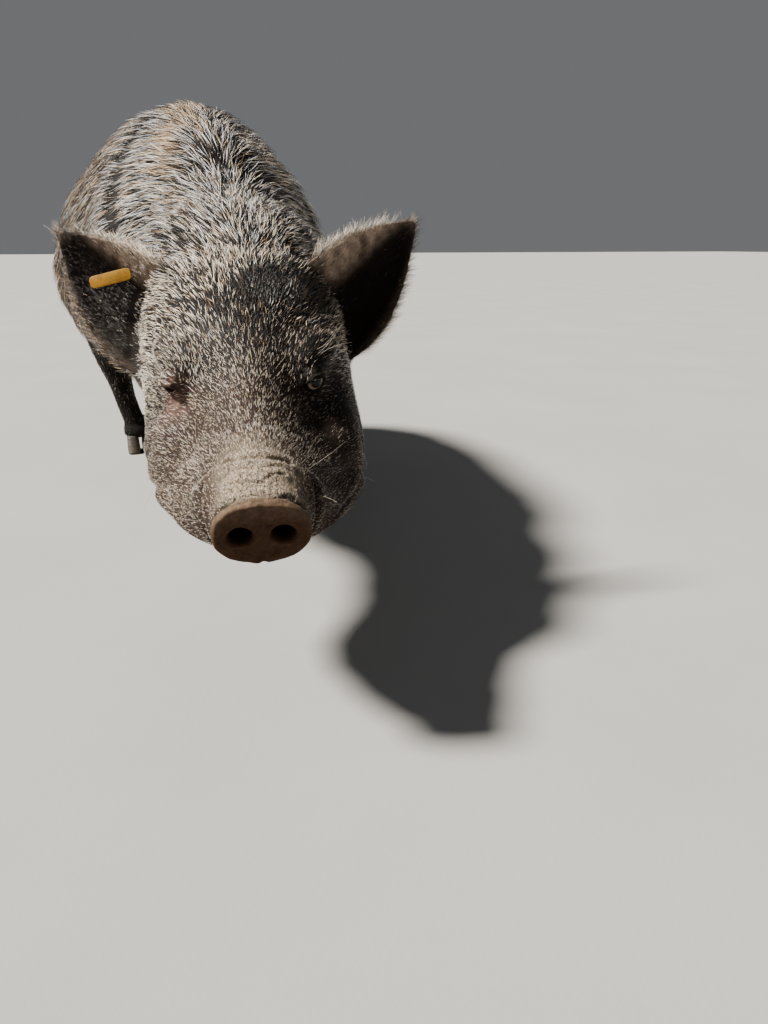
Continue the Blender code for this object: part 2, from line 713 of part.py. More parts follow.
# ---------------------------------------------------------------- the whole pig
def build_head(masses, neck):
    """Head, lower jaw, snout, ears, eyes and tag."""
    head = blended("head", masses, HEAD_VOXEL, HEAD_SOFTENING, HEAD_KEEP)
    kept_side(head, on_head(HEAD_END, 0, 0), HEAD_BACK)
    head.data.materials.clear()
    head.data.materials.append(material("coat"))
    for side in SIDES:
        boolean(head, nostril_cutter(side), "DIFFERENCE")
    for side in SIDES:
        ear = add_ear("ear_" + side, side)
        if side == "right":
            add_tag(ear)
        for flesh in (head, neck):
            boolean(ear, grown("ear_gap", flesh, 2 * CUT), "DIFFERENCE")
        keep_largest(ear)
    for side in SIDES:
        boolean(head, add_eye("socket", side, CUT), "DIFFERENCE")
        add_eye("eye_" + side, side)
    # The mouth's cut runs level under the snout and then back along the cheeks.
    parted(head, "lower_jaw", head_slab("jaw_tool", *MOUTH), "coat")
    parted(head, "snout", head_slab("snout_tool", -BEYOND, SNOUT_END), "disc")
    return head


def keep_largest(target):
    """Drops the loose crumbs that a cut has left."""
    builder = bmesh.new()
    builder.from_mesh(target.data)
    left, islands = set(builder.verts), []
    while left:
        todo, island = [left.pop()], []
        while todo:
            vert = todo.pop()
            island.append(vert)
            for edge in vert.link_edges:
                other = edge.other_vert(vert)
                if other in left:
                    left.remove(other)
                    todo.append(other)
        islands.append(island)
    islands.sort(key=len, reverse=True)
    for island in islands[1:]:
        bmesh.ops.delete(builder, geom=island, context="VERTS")
    builder.to_mesh(target.data)
    builder.free()


def build_legs(body):
    for kind, cut, span, joint, feet in (
            ("foreleg", FORELEG_CUT, FORELEG_SPAN, FORELEG_JOINT, FORE_FOOT),
            ("hindleg", HINDLEG_CUT, HINDLEG_SPAN, HINDLEG_JOINT, HIND_FOOT)):
        for side, sign in SIDES.items():
            tool = prism("tool", [(sign * out, up) for out, up in cut], *span, "Y")
            upper = parted(body, f"{kind}_{side}_upper", tool, "coat")
            finish_leg(kind, side, upper, joint, feet[side])


def finish_leg(kind, side, upper, joint_height, foot):
    """Parts the lower leg, levels its foot and adds the claws."""
    around = ((-BEYOND, -BEYOND), (BEYOND, -BEYOND), (BEYOND, 2 * BEYOND), (-BEYOND, 2 * BEYOND))
    tool = prism("tool", around, -BEYOND, joint_height, "Z")
    lower = parted(upper, f"{kind}_{side}_lower", tool, "coat")
    boolean(lower, prism("floor", around, -BEYOND, HOOF_TOP, "Z"), "DIFFERENCE")
    for name, sign in (("inner", -SIDES[side]), ("outer", SIDES[side])):
        add_hoof(f"{kind}_{side}_claw_{name}", *foot, sign)
        add_dewclaw(f"{kind}_{side}_dewclaw_{name}", lower, *foot, sign)


def build_pig():
    masses = flesh_mesh()
    body = blended("trunk", masses, BODY_VOXEL, BODY_SOFTENING, BODY_KEEP)
    body.data.materials.clear()
    body.data.materials.append(material("coat"))
    kept_side(body, on_head(HEAD_END + CUT, 0, 0), -HEAD_BACK)
    build_legs(body)
    add_tail(body)
    neck_front = prism("tool", ((-BEYOND, -2 * BEYOND), (BEYOND, -2 * BEYOND),
                                (BEYOND, NECK_END), (-BEYOND, NECK_END)), -BEYOND, 2 * BEYOND, "Z")
    neck = parted(body, "neck", neck_front, "coat")
    build_head(masses, neck)


def centre_on_floor():
    """Sets the origin on the floor under the middle of the whole pig."""
    solids = [item for item in bpy.data.objects if not item.hide_render]
    for item in solids:
        settle(item)
    corners = [vert.co for item in solids for vert in item.data.vertices]
    low = Vector([min(c[k] for c in corners) for k in range(3)])
    high = Vector([max(c[k] for c in corners) for k in range(3)])
    shift = Vector((-(low.x + high.x) / 2, -(low.y + high.y) / 2, -low.z))
    for item in solids:
        item.data.transform(Matrix.Translation(shift))
        item.data.update()


clear_scene()
build_pig()
centre_on_floor()
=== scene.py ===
"""The looks of a life-size pot-bellied pig: skin, bristles, eyes, claws and ear tag.

Metres, +Z up.  The pig faces -Y and its left side is at +X.
"""
import math

import bpy
import numpy as np
from mathutils import Matrix, Vector
from mathutils.bvhtree import BVHTree


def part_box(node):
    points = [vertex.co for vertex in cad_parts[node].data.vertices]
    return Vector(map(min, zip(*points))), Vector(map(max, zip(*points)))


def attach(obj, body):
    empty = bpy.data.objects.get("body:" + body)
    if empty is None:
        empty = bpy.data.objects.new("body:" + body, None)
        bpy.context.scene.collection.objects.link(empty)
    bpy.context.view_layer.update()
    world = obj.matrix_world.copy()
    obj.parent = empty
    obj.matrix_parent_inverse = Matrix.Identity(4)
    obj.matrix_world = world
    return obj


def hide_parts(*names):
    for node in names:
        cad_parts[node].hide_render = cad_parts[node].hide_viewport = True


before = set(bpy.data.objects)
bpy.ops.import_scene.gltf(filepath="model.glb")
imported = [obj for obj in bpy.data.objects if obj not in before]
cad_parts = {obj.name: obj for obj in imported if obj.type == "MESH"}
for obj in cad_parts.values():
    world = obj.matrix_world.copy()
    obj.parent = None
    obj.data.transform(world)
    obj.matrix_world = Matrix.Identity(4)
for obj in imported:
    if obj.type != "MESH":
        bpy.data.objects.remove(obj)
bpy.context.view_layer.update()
chance = np.random.default_rng(11)

# ---------- driving sizes
SIDES = {"right": -1, "left": 1}
HEAD_YAW, HEAD_PITCH, HEAD_ROLL = math.radians(10), math.radians(20), math.radians(-0.5)
# Middles of the eyeballs: outwards, behind the snout disc, up
EYE_PLACE = {"right": (0.0555, 0.1595, 0.023), "left": (0.0468, 0.156, 0.0218)}
EYE_RADIUS = 0.0105
EYE_LOOK = (0.38, -0.86, -0.1)  # the way an eye looks: outwards, back, up
EYE_OPENING = {"right": (0.0066, 0.0006), "left": (0.007, 0.0037)}  # half width, half height
PUPIL_RAISE, PUPIL_TURN = 0.24, 0.12  # how far the pupil looks up and out

# Ears: root and tip, outwards, behind the disc and up
EAR_ROOT = {"right": (0.076, 0.249, 0.024), "left": (0.076, 0.252, 0.03)}
EAR_TIP = {"right": (0.153, 0.312, 0.086), "left": (0.16, 0.302, 0.097)}
EAR_HOLLOW = {"right": (0.22, -0.86, 0.44), "left": (0.2, -0.87, 0.45)}  # the way it faces
EAR_WIDTH, EAR_SUNK = 0.094, 0.16  # width, and the share of its length that the head hides

SKIN_VOXEL, WELD = 0.0026, 0.00002
SEAM = 0.0006  # how far the flesh nodes grow to close the cuts between them
SKIN_TRIANGLES = 118000  # before the face is made finer
ROOT_DEPTH = 0.0006  # how deep a bristle's root is set in the skin
LID_REACH = 0.022       # how far from an eyeball's middle the lids darken the skin and thin the coat
FOOT_TOP = 0.052  # below this height the skin is less and less set in for the coat
CLAW_DETAIL = ((0.0013, 8), (0.0008, 5))  # voxel and smoothing of a claw, then of a dewclaw
# How far the skin lies under the tips of the coat
COAT_DEPTH = {"head": 0.003, "snout": 0.0008, "lower_jaw": 0.0022, "neck": 0.0055, "trunk": 0.007,
              "tail": 0.003, "ear": 0.001, "upper": 0.005, "lower": 0.0026}
# How strongly the skin is evened out, where not fully
EVENNESS = {"ear": 0.16, "head": 0.3, "lower": 0.65}

# The camera, from the middle of the snout disc
CAMERA_FROM_SNOUT = (-0.0852, -0.4407, 0.174)
CAMERA_HEADING, CAMERA_FALL, CAMERA_LENS = math.radians(21.0), math.radians(19.9), 26.0
SENSOR_WIDTH = 36.0
# The key light's direction and strength, and that of the light from all round
SUN_FROM, SUN_STRENGTH, WORLD_STRENGTH = (-0.62, 0.17, 0.77), 14.0, 0.19
SUN_SPREAD, SUN_COLOUR, WORLD_COLOUR = math.radians(9), (1.0, 0.95, 0.87), (0.84, 0.86, 0.9, 1)


# ---------- small helpers
def select_only(*objects):
    bpy.ops.object.select_all(action="DESELECT")
    for item in objects:
        item.select_set(True)
    bpy.context.view_layer.objects.active = objects[0]


def mode(name):
    bpy.ops.object.mode_set(mode=name)


def apply_modifier(target, kind, **settings):
    select_only(target)
    made = target.modifiers.new(kind.title(), kind)
    for key, value in settings.items():
        setattr(made, key, value)
    bpy.ops.object.modifier_apply(modifier=made.name)


def add_object(name, data):
    made = bpy.data.objects.new(name, data)
    bpy.context.scene.collection.objects.link(made)
    return made


def edit_all(target, *steps):
    """Runs edit-mode operators, each with its settings, on a whole mesh."""
    select_only(target)
    mode("EDIT")
    bpy.ops.mesh.select_all(action="SELECT")
    for operator, settings in steps:
        operator(**settings)
    mode("OBJECT")


def node_copy(node, name):
    """A welded copy of a CAD node, as an object of its own."""
    made = add_object(name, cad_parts[node].data.copy())
    made.data.materials.clear()
    edit_all(made, (bpy.ops.mesh.remove_doubles, {"threshold": WELD}),
             (bpy.ops.mesh.normals_make_consistent, {"inside": False}))
    return made


def read(items, key, width, kind=np.float32):
    """One property of each item of a mesh, as rows of the given width."""
    values = np.empty(len(items) * width, kind)
    items.foreach_get(key, values)
    return values.reshape(-1, width)


def points_of(mesh):
    return read(mesh.vertices, "co", 3).astype(float)


def normals_of(mesh):
    return read(mesh.vertex_normals, "vector", 3).astype(float)


def edges_of(mesh):
    return read(mesh.edges, "vertices", 2, np.int32)


def triangles_of(mesh):
    return read(mesh.polygons, "vertices", 3, np.int32)


def set_points(mesh, co):
    mesh.vertices.foreach_set("co", co.astype(np.float32).ravel())
    mesh.update()


def write_tone(mesh, colour):
    """Stores each vertex's colour, which the materials read."""
    rgba = np.ones((len(mesh.vertices), 4), np.float32)
    rgba[:, :3] = colour
    mesh.color_attributes.new("tone", "FLOAT_COLOR", "POINT").data.foreach_set("color", rgba.ravel())


def write_values(mesh, name, values):
    mesh.attributes.new(name, "FLOAT", "POINT").data.foreach_set("value", values.astype(np.float32))


def averaged(values, edges, weight, rounds):
    """Values at the vertices, evened out along the edges by each vertex's weight."""
    shape, count = np.shape(values), len(values)
    values = np.array(values, float).reshape(count, -1)
    a, b = edges[:, 0], edges[:, 1]
    links = np.maximum(np.bincount(a, minlength=count) + np.bincount(b, minlength=count), 1)
    weight = np.full(count, weight, float)[:, None]
    for _ in range(rounds):
        total = np.stack([np.bincount(a, values[b, k], count) + np.bincount(b, values[a, k], count)
                          for k in range(values.shape[1])], 1)
        values = values + (total / links[:, None] - values) * weight
    return values.reshape(shape)


def size(vectors):
    return np.linalg.norm(vectors, axis=-1)


def unit(vectors):
    return vectors / np.maximum(size(vectors)[..., None], 1e-9)


def bump(x):
    """A soft hill, 1 at 0."""
    return np.exp(-np.square(x))


def rise(x, start, end):
    """A smooth step from 0 at the start to 1 at the end."""
    t = np.clip((x - start) / (end - start), 0, 1)
    return t * t * (3 - 2 * t)


def lumps(p, size, seed):
    """A soft random field between about -1 and 1, with lumps of about the given size."""
    turn = np.random.default_rng(seed)
    total = np.zeros(len(p))
    for _ in range(7):
        way = unit(turn.normal(size=3)) / size * turn.uniform(0.7, 1.5)
        total += np.sin(p @ way * 2.2 + turn.uniform(0, 6.28))
    return total / 3.2


# ---------- the head's frame
# Columns: to the pig's left, backwards along the head, up
HEAD_TURN = (Matrix.Rotation(-HEAD_YAW, 3, "Z") @ Matrix.Rotation(HEAD_PITCH, 3, "X")
             @ Matrix.Rotation(HEAD_ROLL, 3, "Y"))
AXES = np.array(HEAD_TURN)


def in_head(place):
    """World point from outwards to the left, behind the disc, up."""
    return SNOUT + AXES @ np.array(place, float)


# The middle of the snout disc, worked out from the right eyeball's box
SNOUT = (np.array(sum(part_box("eye_right"), Vector()) / 2)
         - AXES @ (EYE_PLACE["right"] * np.array((-1, 1, 1))))


def to_head(p):
    return (p - SNOUT) @ AXES


# ---------- the skin
LIMBS = [f"{kind}_{side}_{part}" for kind in ("foreleg", "hindleg") for side in SIDES
         for part in ("upper", "lower")]
FLESH = ["head", "snout", "lower_jaw", "neck", "trunk", "tail", "ear_right", "ear_left"] + LIMBS


# Zones of the body, as weights that blend into each other
ZONES = ("head", "ear", "neck", "trunk", "upper", "lower", "tail")


def zone_of(node):
    if node in ("snout", "lower_jaw"):
        return "head"
    return node if node in ZONES else ("ear" if node.startswith("ear") else node[-5:])


def is_body(node):
    return zone_of(node) in ("neck", "trunk", "upper")


def flesh_finder():
    """Finds each point's nearest flesh node, as an index into FLESH."""
    corners, faces, owner = [], [], []
    for index, node in enumerate(FLESH):
        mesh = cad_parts[node].data
        faces += [[len(corners) + k for k in polygon.vertices] for polygon in mesh.polygons]
        owner += [index] * len(mesh.polygons)
        corners += [tuple(v.co) for v in mesh.vertices]
    tree = BVHTree.FromPolygons(corners, faces)
    owner = np.array(owner)

    def find(points):
        return owner[[tree.find_nearest(point)[2] for point in points.tolist()]]

    return find


nearest_flesh = flesh_finder()


def by_node(found, value_of):
    """An array of values, one for each found node."""
    table = np.array([value_of(node) for node in FLESH], float)
    return table[found]


def eye_frame(side):
    """The eyeball's middle and its axes: across, up, and the way it looks."""
    out, back, up = EYE_PLACE[side]
    middle = in_head((SIDES[side] * out, back, up))
    look = unit(AXES @ np.array((SIDES[side] * EYE_LOOK[0], EYE_LOOK[1], EYE_LOOK[2])))
    across = unit(np.cross(AXES[:, 2], look))
    return middle, across, np.cross(look, across), look

def eye_distance(p, *sides):
    """Distance from each place to the middle of an eyeball, or of the nearer one."""
    return np.min([size(p - eye_frame(side)[0]) for side in sides or SIDES], axis=0)


def build_skin():
    parts = []
    for node in FLESH + ["eye_right", "eye_left"]:
        part = node_copy(node, "flesh_" + node)
        apply_modifier(part, "DISPLACE", strength=SEAM, mid_level=0.0)
        parts.append(part)
    select_only(*parts)
    bpy.ops.object.join()
    skin = bpy.context.object
    skin.name = skin.data.name = "skin"
    apply_modifier(skin, "REMESH", mode="VOXEL", voxel_size=SKIN_VOXEL)
    mesh = skin.data
    co, edges = points_of(mesh), edges_of(mesh)
    found = nearest_flesh(co)
    weight = averaged(by_node(found, lambda node: EVENNESS.get(zone_of(node), 1.0)), edges, 0.5, 10)
    co = averaged(co, edges, weight * 0.6, 22)
    set_points(mesh, co)
    depth = by_node(found, lambda node: COAT_DEPTH.get(node) or COAT_DEPTH[zone_of(node)])
    depth = averaged(depth, edges, 0.5, 16) + SEAM
    for side in SIDES:
        depth *= 1 - 0.85 * bump(eye_distance(co, side) / 0.019)
    foot = 1 - rise(co[:, 2], 0.034, FOOT_TOP)
    normal = normals_of(mesh)
    co = co - normal * (depth * (1 - foot))[:, None]
    # The skin swells over the tops of the claws and reaches down round them.
    low = 1 - rise(co[:, 2], 0.028, 0.044)
    flat = normal * np.array((1, 1, 0))
    set_points(mesh, co + flat * (0.0022 * foot)[:, None] - np.array((0, 0, 0.0045)) * low[:, None])
    thin_out(skin, found)
    refine(skin)
    return skin


def thin_out(skin, found):
    """Fewer faces on the body, under the long coat; head, ears and feet keep theirs."""
    group = skin.vertex_groups.new(name="free")
    group.add(np.flatnonzero(by_node(found, is_body)).tolist(), 1.0, "REPLACE")
    share = SKIN_TRIANGLES / (2 * len(skin.data.polygons))
    apply_modifier(skin, "DECIMATE", ratio=share, vertex_group="free", vertex_group_factor=8.0,
                   use_collapse_triangulate=True)
    skin.vertex_groups.clear()


def subdivide_where(skin, wanted):
    """Subdivides the faces whose corners are all wanted."""
    mesh = skin.data
    select_only(skin)
    bpy.context.tool_settings.mesh_select_mode = (False, False, True)
    mode("EDIT")
    bpy.ops.mesh.select_all(action="DESELECT")
    mode("OBJECT")
    mesh.polygons.foreach_set("select", wanted[triangles_of(mesh)].all(1))
    mode("EDIT")
    bpy.ops.mesh.subdivide(number_cuts=1)
    bpy.ops.mesh.select_all(action="SELECT")
    bpy.ops.mesh.quads_convert_to_tris()
    mode("OBJECT")


def refine(skin):
    """Finer faces on the snout, the bridge and round the eyes."""
    co = points_of(skin.data)
    _, back, up = to_head(co).T
    subdivide_where(skin, ((back < 0.062) & (up > -0.045)) | (eye_distance(co) < 0.028))
    subdivide_where(skin, eye_distance(points_of(skin.data)) < 0.016)
    co = points_of(skin.data)
    fine = (to_head(co)[:, 1] < 0.06) | (eye_distance(co) < 0.027)
    set_points(skin.data, averaged(co, edges_of(skin.data), fine * 0.5, 3))


# ---------- folds of the face
def line_distance(x, y, points):
    """Distance from each place to a line through the points, which are in millimetres."""
    best = np.full(len(x), 1.0)
    points = np.array(points) / 1000
    for (ax, ay), (bx, by) in zip(points, points[1:]):
        dx, dy = bx - ax, by - ay
        t = np.clip(((x - ax) * dx + (y - ay) * dy) / (dx * dx + dy * dy), 0, 1)
        best = np.minimum(best, np.hypot(x - ax - t * dx, y - ay - t * dy))
    return best


def crease(x, y, points, depth, width):
    """A fold line with a raised lip on each side, from sizes in millimetres."""
    depth, width, distance = depth / 1000, width / 1000, line_distance(x, y, points)
    return -depth * bump(distance / width) + 0.45 * depth * bump((distance - 2.4 * width) / (1.3 * width))


# Folds in millimetres: the points of the line, then its depth and width.
# On top of the snout the points are outwards and behind the disc.
BRIDGE_FOLDS = (
    (((-20, 31), (-7, 25.2), (3.2, 24.3), (9.5, 32.8), (18, 36)), 1.1, 1.1),
    (((6, 7.5), (12, 8.5), (18.5, 15.6), (23, 16)), 1.2, 1.1),
    (((-18, 15), (-6, 12.5), (4, 15)), 0.5, 0.9),
    (((-15, 40), (0, 37.5), (14, 42)), 0.6, 1.2),
    (((-18, 56), (-8, 51), (6, 49), (22, 53)), 2.0, 2.2),
    (((-10, 18), (-9, 34)), 0.5, 0.8),
    (((-1, 12), (0.5, 30)), 0.5, 0.8),
    (((8, 12), (9, 26)), 0.5, 0.8),
)
# On the sides of the head they are behind the disc and up.
NOSE_EDGE = (((49.8, -0.8), (38, -7), (28.5, -12.6), (20, -23)), 2.6, 3.0)
MOUTH = (((14, -32), (40, -36), (75, -41), (112, -45)), 3.2, 2.0)
FACE_FOLDS = (
    (((58, -2), (80, -22), (108, -34), (128, -58)), 1.6, 4.5),
    (((118, 4), (140, -20), (150, -46)), 1.2, 5.0),
)
# On the sides of the body they are along it and up: shoulder, elbow and flank.
SHOULDER = ((0, 482), (-14, 442), (-54, 407), (-100, 366), (-104, 310), (-70, 260))
BODY_FOLDS = (
    (SHOULDER, 5, 8),
    (((52, 270), (70, 220), (66, 180)), 3, 7),
    (((262, 300), (282, 240), (290, 190)), 3.5, 10),
)
NOSTRIL_OUT, NOSTRIL_UP, NOSTRIL_DEPTH = 0.0142, -0.0016, 0.013
NOSTRIL_HALF = (0.0082, 0.0064)
DISC_HALF, DISC_UP, DISC_POWER = (0.035, 0.0277), -0.001, 2.3


def disc_reach(out, up):
    """Distance from the middle of the snout disc, 1 at its edge."""
    across, over = np.abs(out / DISC_HALF[0]), np.abs((up - DISC_UP) / DISC_HALF[1])
    return (across ** DISC_POWER + over ** DISC_POWER) ** (1 / DISC_POWER)


def nostril_ring(out, up):
    """Distance from the nearer nostril's middle, 1 at its edge."""
    return np.hypot((np.abs(out) - NOSTRIL_OUT) / NOSTRIL_HALF[0], (up - NOSTRIL_UP) / NOSTRIL_HALF[1])


def snout_drop(back):
    """How far the end of the snout hangs down."""
    return 0.003 * (1 - rise(back, 0.01, 0.05))


def fold_snout(co, normal):
    """The disc's rim and dish, the groove behind it, the nostrils and the folds of the bridge."""
    h = to_head(co)
    out, back, up = h.T
    n = normal @ AXES
    reach = disc_reach(out, up)
    front = rise(-n[:, 1], 0.25, 0.75) * (back < 0.012)
    push = 0.0015 * bump((reach - 0.9) / 0.09) * (0.55 + 0.6 * rise(up, -0.01, 0.02))
    push -= 0.0016 * rise(1 - reach, 0.1, 0.6)
    push -= 0.0018 * bump(out / 0.0024) * rise(-up, 0.01, 0.024)
    push -= 0.0005 * bump(out / 0.0016)
    push += 0.0002 * lumps(h, 0.004, 12)
    ring = nostril_ring(out, up)
    push += 0.001 * bump((ring - 1.3) / 0.2)
    push -= NOSTRIL_DEPTH * (1 - rise(ring, 0.78, 1.02))
    co = co - AXES[:, 1] * (push * front)[:, None]
    behind = bump((back - 0.0125) / 0.0042) * (1 - front)
    corner = 0.55 + 0.75 * bump((np.abs(out) - 0.024) / 0.01) * (up > 0)
    move = -0.0027 * behind * corner
    top = rise(n[:, 2], 0.25, 0.7) * (back > 0.003) * (back < 0.075) * (up > 0)
    for fold in BRIDGE_FOLDS:
        move += crease(out, back, *fold) * top
    move += 0.0016 * bump(np.hypot(out / 0.026, (back - 0.033) / 0.014)) * top
    move += 0.00018 * lumps(h * np.array((2.5, 1.0, 1.0)), 0.005, 14) * top
    side = rise(np.abs(n[:, 0]), 0.35, 0.7) * (back > 0.012) * (back < 0.075)
    move += crease(back, up, *NOSE_EDGE) * side
    mouth = rise(np.abs(n[:, 0]) - n[:, 1], 0.2, 0.6) * (up < -0.015) * (back > 0.006) * (back < 0.12)
    mouth *= 1 - 0.7 * rise(back, 0.05, 0.11)
    move += crease(back, up, *MOUTH) * mouth
    return co + normal * move[:, None] - AXES[:, 2] * snout_drop(back)[:, None]


def fold_cheeks(co, normal):
    """Jowl folds, the hollows under the eyes and slack folds over the face."""
    h = to_head(co)
    out, back, up = h.T
    face = rise(back, 0.05, 0.09) * (1 - rise(back, 0.22, 0.26))
    move = 0.001 * lumps(h, 0.02, 3) * face
    for sign in (-1, 1):
        on_side = out * sign > 0.015
        hollow = np.hypot(np.hypot(out * sign - 0.044, back - 0.128) / 0.013, (up - 0.008) / 0.013)
        move -= 0.003 * bump(hollow) * on_side
        for fold in FACE_FOLDS:
            move += crease(back, up, *fold) * on_side * face
    return co + normal * move[:, None]


def lid_place(p, side):
    """Places about an eye: across, up, towards its look, and their distance from the opening."""
    middle, across, up, look = eye_frame(side)
    q = p - middle
    a, b, c = (q @ across) * SIDES[side], q @ up, q @ look
    b = b + 0.0004 - 0.1 * a  # the inner corner lies lower
    half_width, half_height = EYE_OPENING[side]
    lid = np.hypot(a / half_width, b / half_height)
    away = np.hypot(a, b)
    return a, b, c, lid, np.where(lid > 1, away - away / np.maximum(lid, 1e-6), 0)


def fold_lids(co, side):
    """Opens the lids over the eyeball and folds the skin round them."""
    q = co - eye_frame(side)[0]
    a, b, c, lid, outside = lid_place(co, side)
    distance = size(q)
    facing = rise(c, 0.0, 0.004) * (distance < 0.03)
    above, below = rise(b, -0.001, 0.002), rise(-b, -0.001, 0.002)
    hood = 0.0012 * above * bump(a / 0.008)  # the upper lid overhangs
    margin = EYE_RADIUS + 0.001 + 0.001 * rise(outside, 0.0, 0.0012) + hood
    close = (1 - rise(outside, 0.002, 0.006)) * facing
    wanted = np.where(lid < 1, EYE_RADIUS - 0.0022, margin)
    wanted = np.where((lid >= 1) & (outside < 0.0004), EYE_RADIUS + 0.0007 + hood, wanted)
    wanted = np.maximum(wanted, np.where(lid < 1, 0, np.minimum(distance, EYE_RADIUS + 0.003)))
    scale = 1 + (wanted / np.maximum(distance, 1e-6) - 1) * close
    co = co + q * (scale - 1)[:, None]
    angle = np.arctan2(b, a)
    slack = 1.5 if side == "right" else 1.0
    move = -0.0013 * bump((outside - 0.0036) / 0.0009) * above
    move -= 0.0012 * slack * bump((outside - 0.003) / 0.0008) * below
    move -= 0.001 * slack * bump((outside - 0.0066) / 0.001) * below
    move += 0.0012 * slack * bump((outside - 0.0047) / 0.0012) * below
    move += 0.0014 * bump((outside - 0.0058) / 0.0018) * above
    move -= 0.0006 * slack * np.maximum(0, np.sin(9 * angle)) * bump((outside - 0.007) / 0.004)
    move += 0.0005 * slack * lumps(co, 0.0035, 41) * bump((outside - 0.008) / 0.006)
    co = co + unit(q) * (move * facing * (1 - rise(distance, 0.018, 0.026)))[:, None]
    # No fold reaches down to the eyeball.
    q = co - eye_frame(side)[0]
    distance = size(q)
    outer = (lid >= 1) & (c > 0) & (distance < 0.03)
    short = np.where(outer, np.maximum(EYE_RADIUS + 0.0008 - distance, 0), 0)
    return co + unit(q) * short[:, None]


def fold_body(co, normal):
    """Creases at the shoulder, elbow and flank, and a slightly lumpy hide."""
    body = by_node(nearest_flesh(co), is_body)
    move = (0.0022 * lumps(co, 0.06, 5) + 0.0008 * lumps(co, 0.022, 8)) * body
    for sign in (-1, 1):
        on_side = rise(co[:, 0] * sign, 0.02, 0.06) * body
        for fold in BODY_FOLDS:
            move += crease(co[:, 1], co[:, 2], *fold) * on_side
    return co + normal * move[:, None]


def sculpt(skin):
    mesh = skin.data
    for fold in (fold_body, fold_cheeks, fold_snout):
        set_points(mesh, fold(points_of(mesh), normals_of(mesh)))
    co = points_of(mesh)
    for side in SIDES:
        co = fold_lids(co, side)
    set_points(mesh, co)
    select_only(skin)
    bpy.ops.object.shade_smooth()


# ---------- markings, and painted light and shade
(DARK_SKIN, WARM_SKIN, PINK_SKIN, DISC_SKIN,
 RIM_SKIN, DUST, EAR_SKIN_WITH_SHADE, EAR_PAINTED_LIGHT) = np.array((
     (0.006, 0.0048, 0.0042), (0.07, 0.043, 0.031), (0.15, 0.084, 0.066), (0.033, 0.0156, 0.0068),
     (0.14, 0.094, 0.06), (0.33, 0.262, 0.19), (0.006, 0.0034, 0.0024), (0.43, 0.32, 0.245)))
PALE_HAIR, GREY_HAIR, TAN_HAIR, BROWN_HAIR, DARK_HAIR = np.array((
    (0.92, 0.81, 0.66), (0.7, 0.7, 0.72), (0.62, 0.43, 0.26), (0.09, 0.055, 0.034),
    (0.008, 0.0072, 0.0068)))


def ear_place(p, side):
    """How far along its ear a place is, how far out to its edge, and the ear's axes."""
    flip = np.array((SIDES[side], 1.0, 1.0))
    root, tip = in_head(flip * EAR_ROOT[side]), in_head(flip * EAR_TIP[side])
    length = size(tip - root)
    along = (tip - root) / length
    hollow = AXES @ (flip * EAR_HOLLOW[side])
    hollow = unit(hollow - along * (hollow @ along))
    across = np.cross(hollow, along) * SIDES[side]
    share = ((p - root) @ along / length + EAR_SUNK) / (1 + EAR_SUNK)
    s = np.clip(share, 0, 0.99)
    width = 0.5 * EAR_WIDTH * (0.86 + 0.8 * s - s ** 2) * (1 - s ** 2.2) ** 0.72
    return share, (p - root) @ across / width, along, across, hollow


def ear_parts(p, normal):
    """The ear's rim and its inside, each from 0 to 1."""
    rim, inside = np.zeros(len(p)), np.zeros(len(p))
    for side, sign in SIDES.items():
        share, edge, _, _, hollow = ear_place(p, side)
        here = p[:, 0] * sign > 0
        at_edge = np.maximum(rise(np.abs(edge), 0.8, 0.95), rise(share, 0.88, 0.97))
        rim = np.where(here, at_edge, rim)
        inside = np.where(here, rise(normal @ hollow, 0.0, 0.4), inside)
    return rim, inside


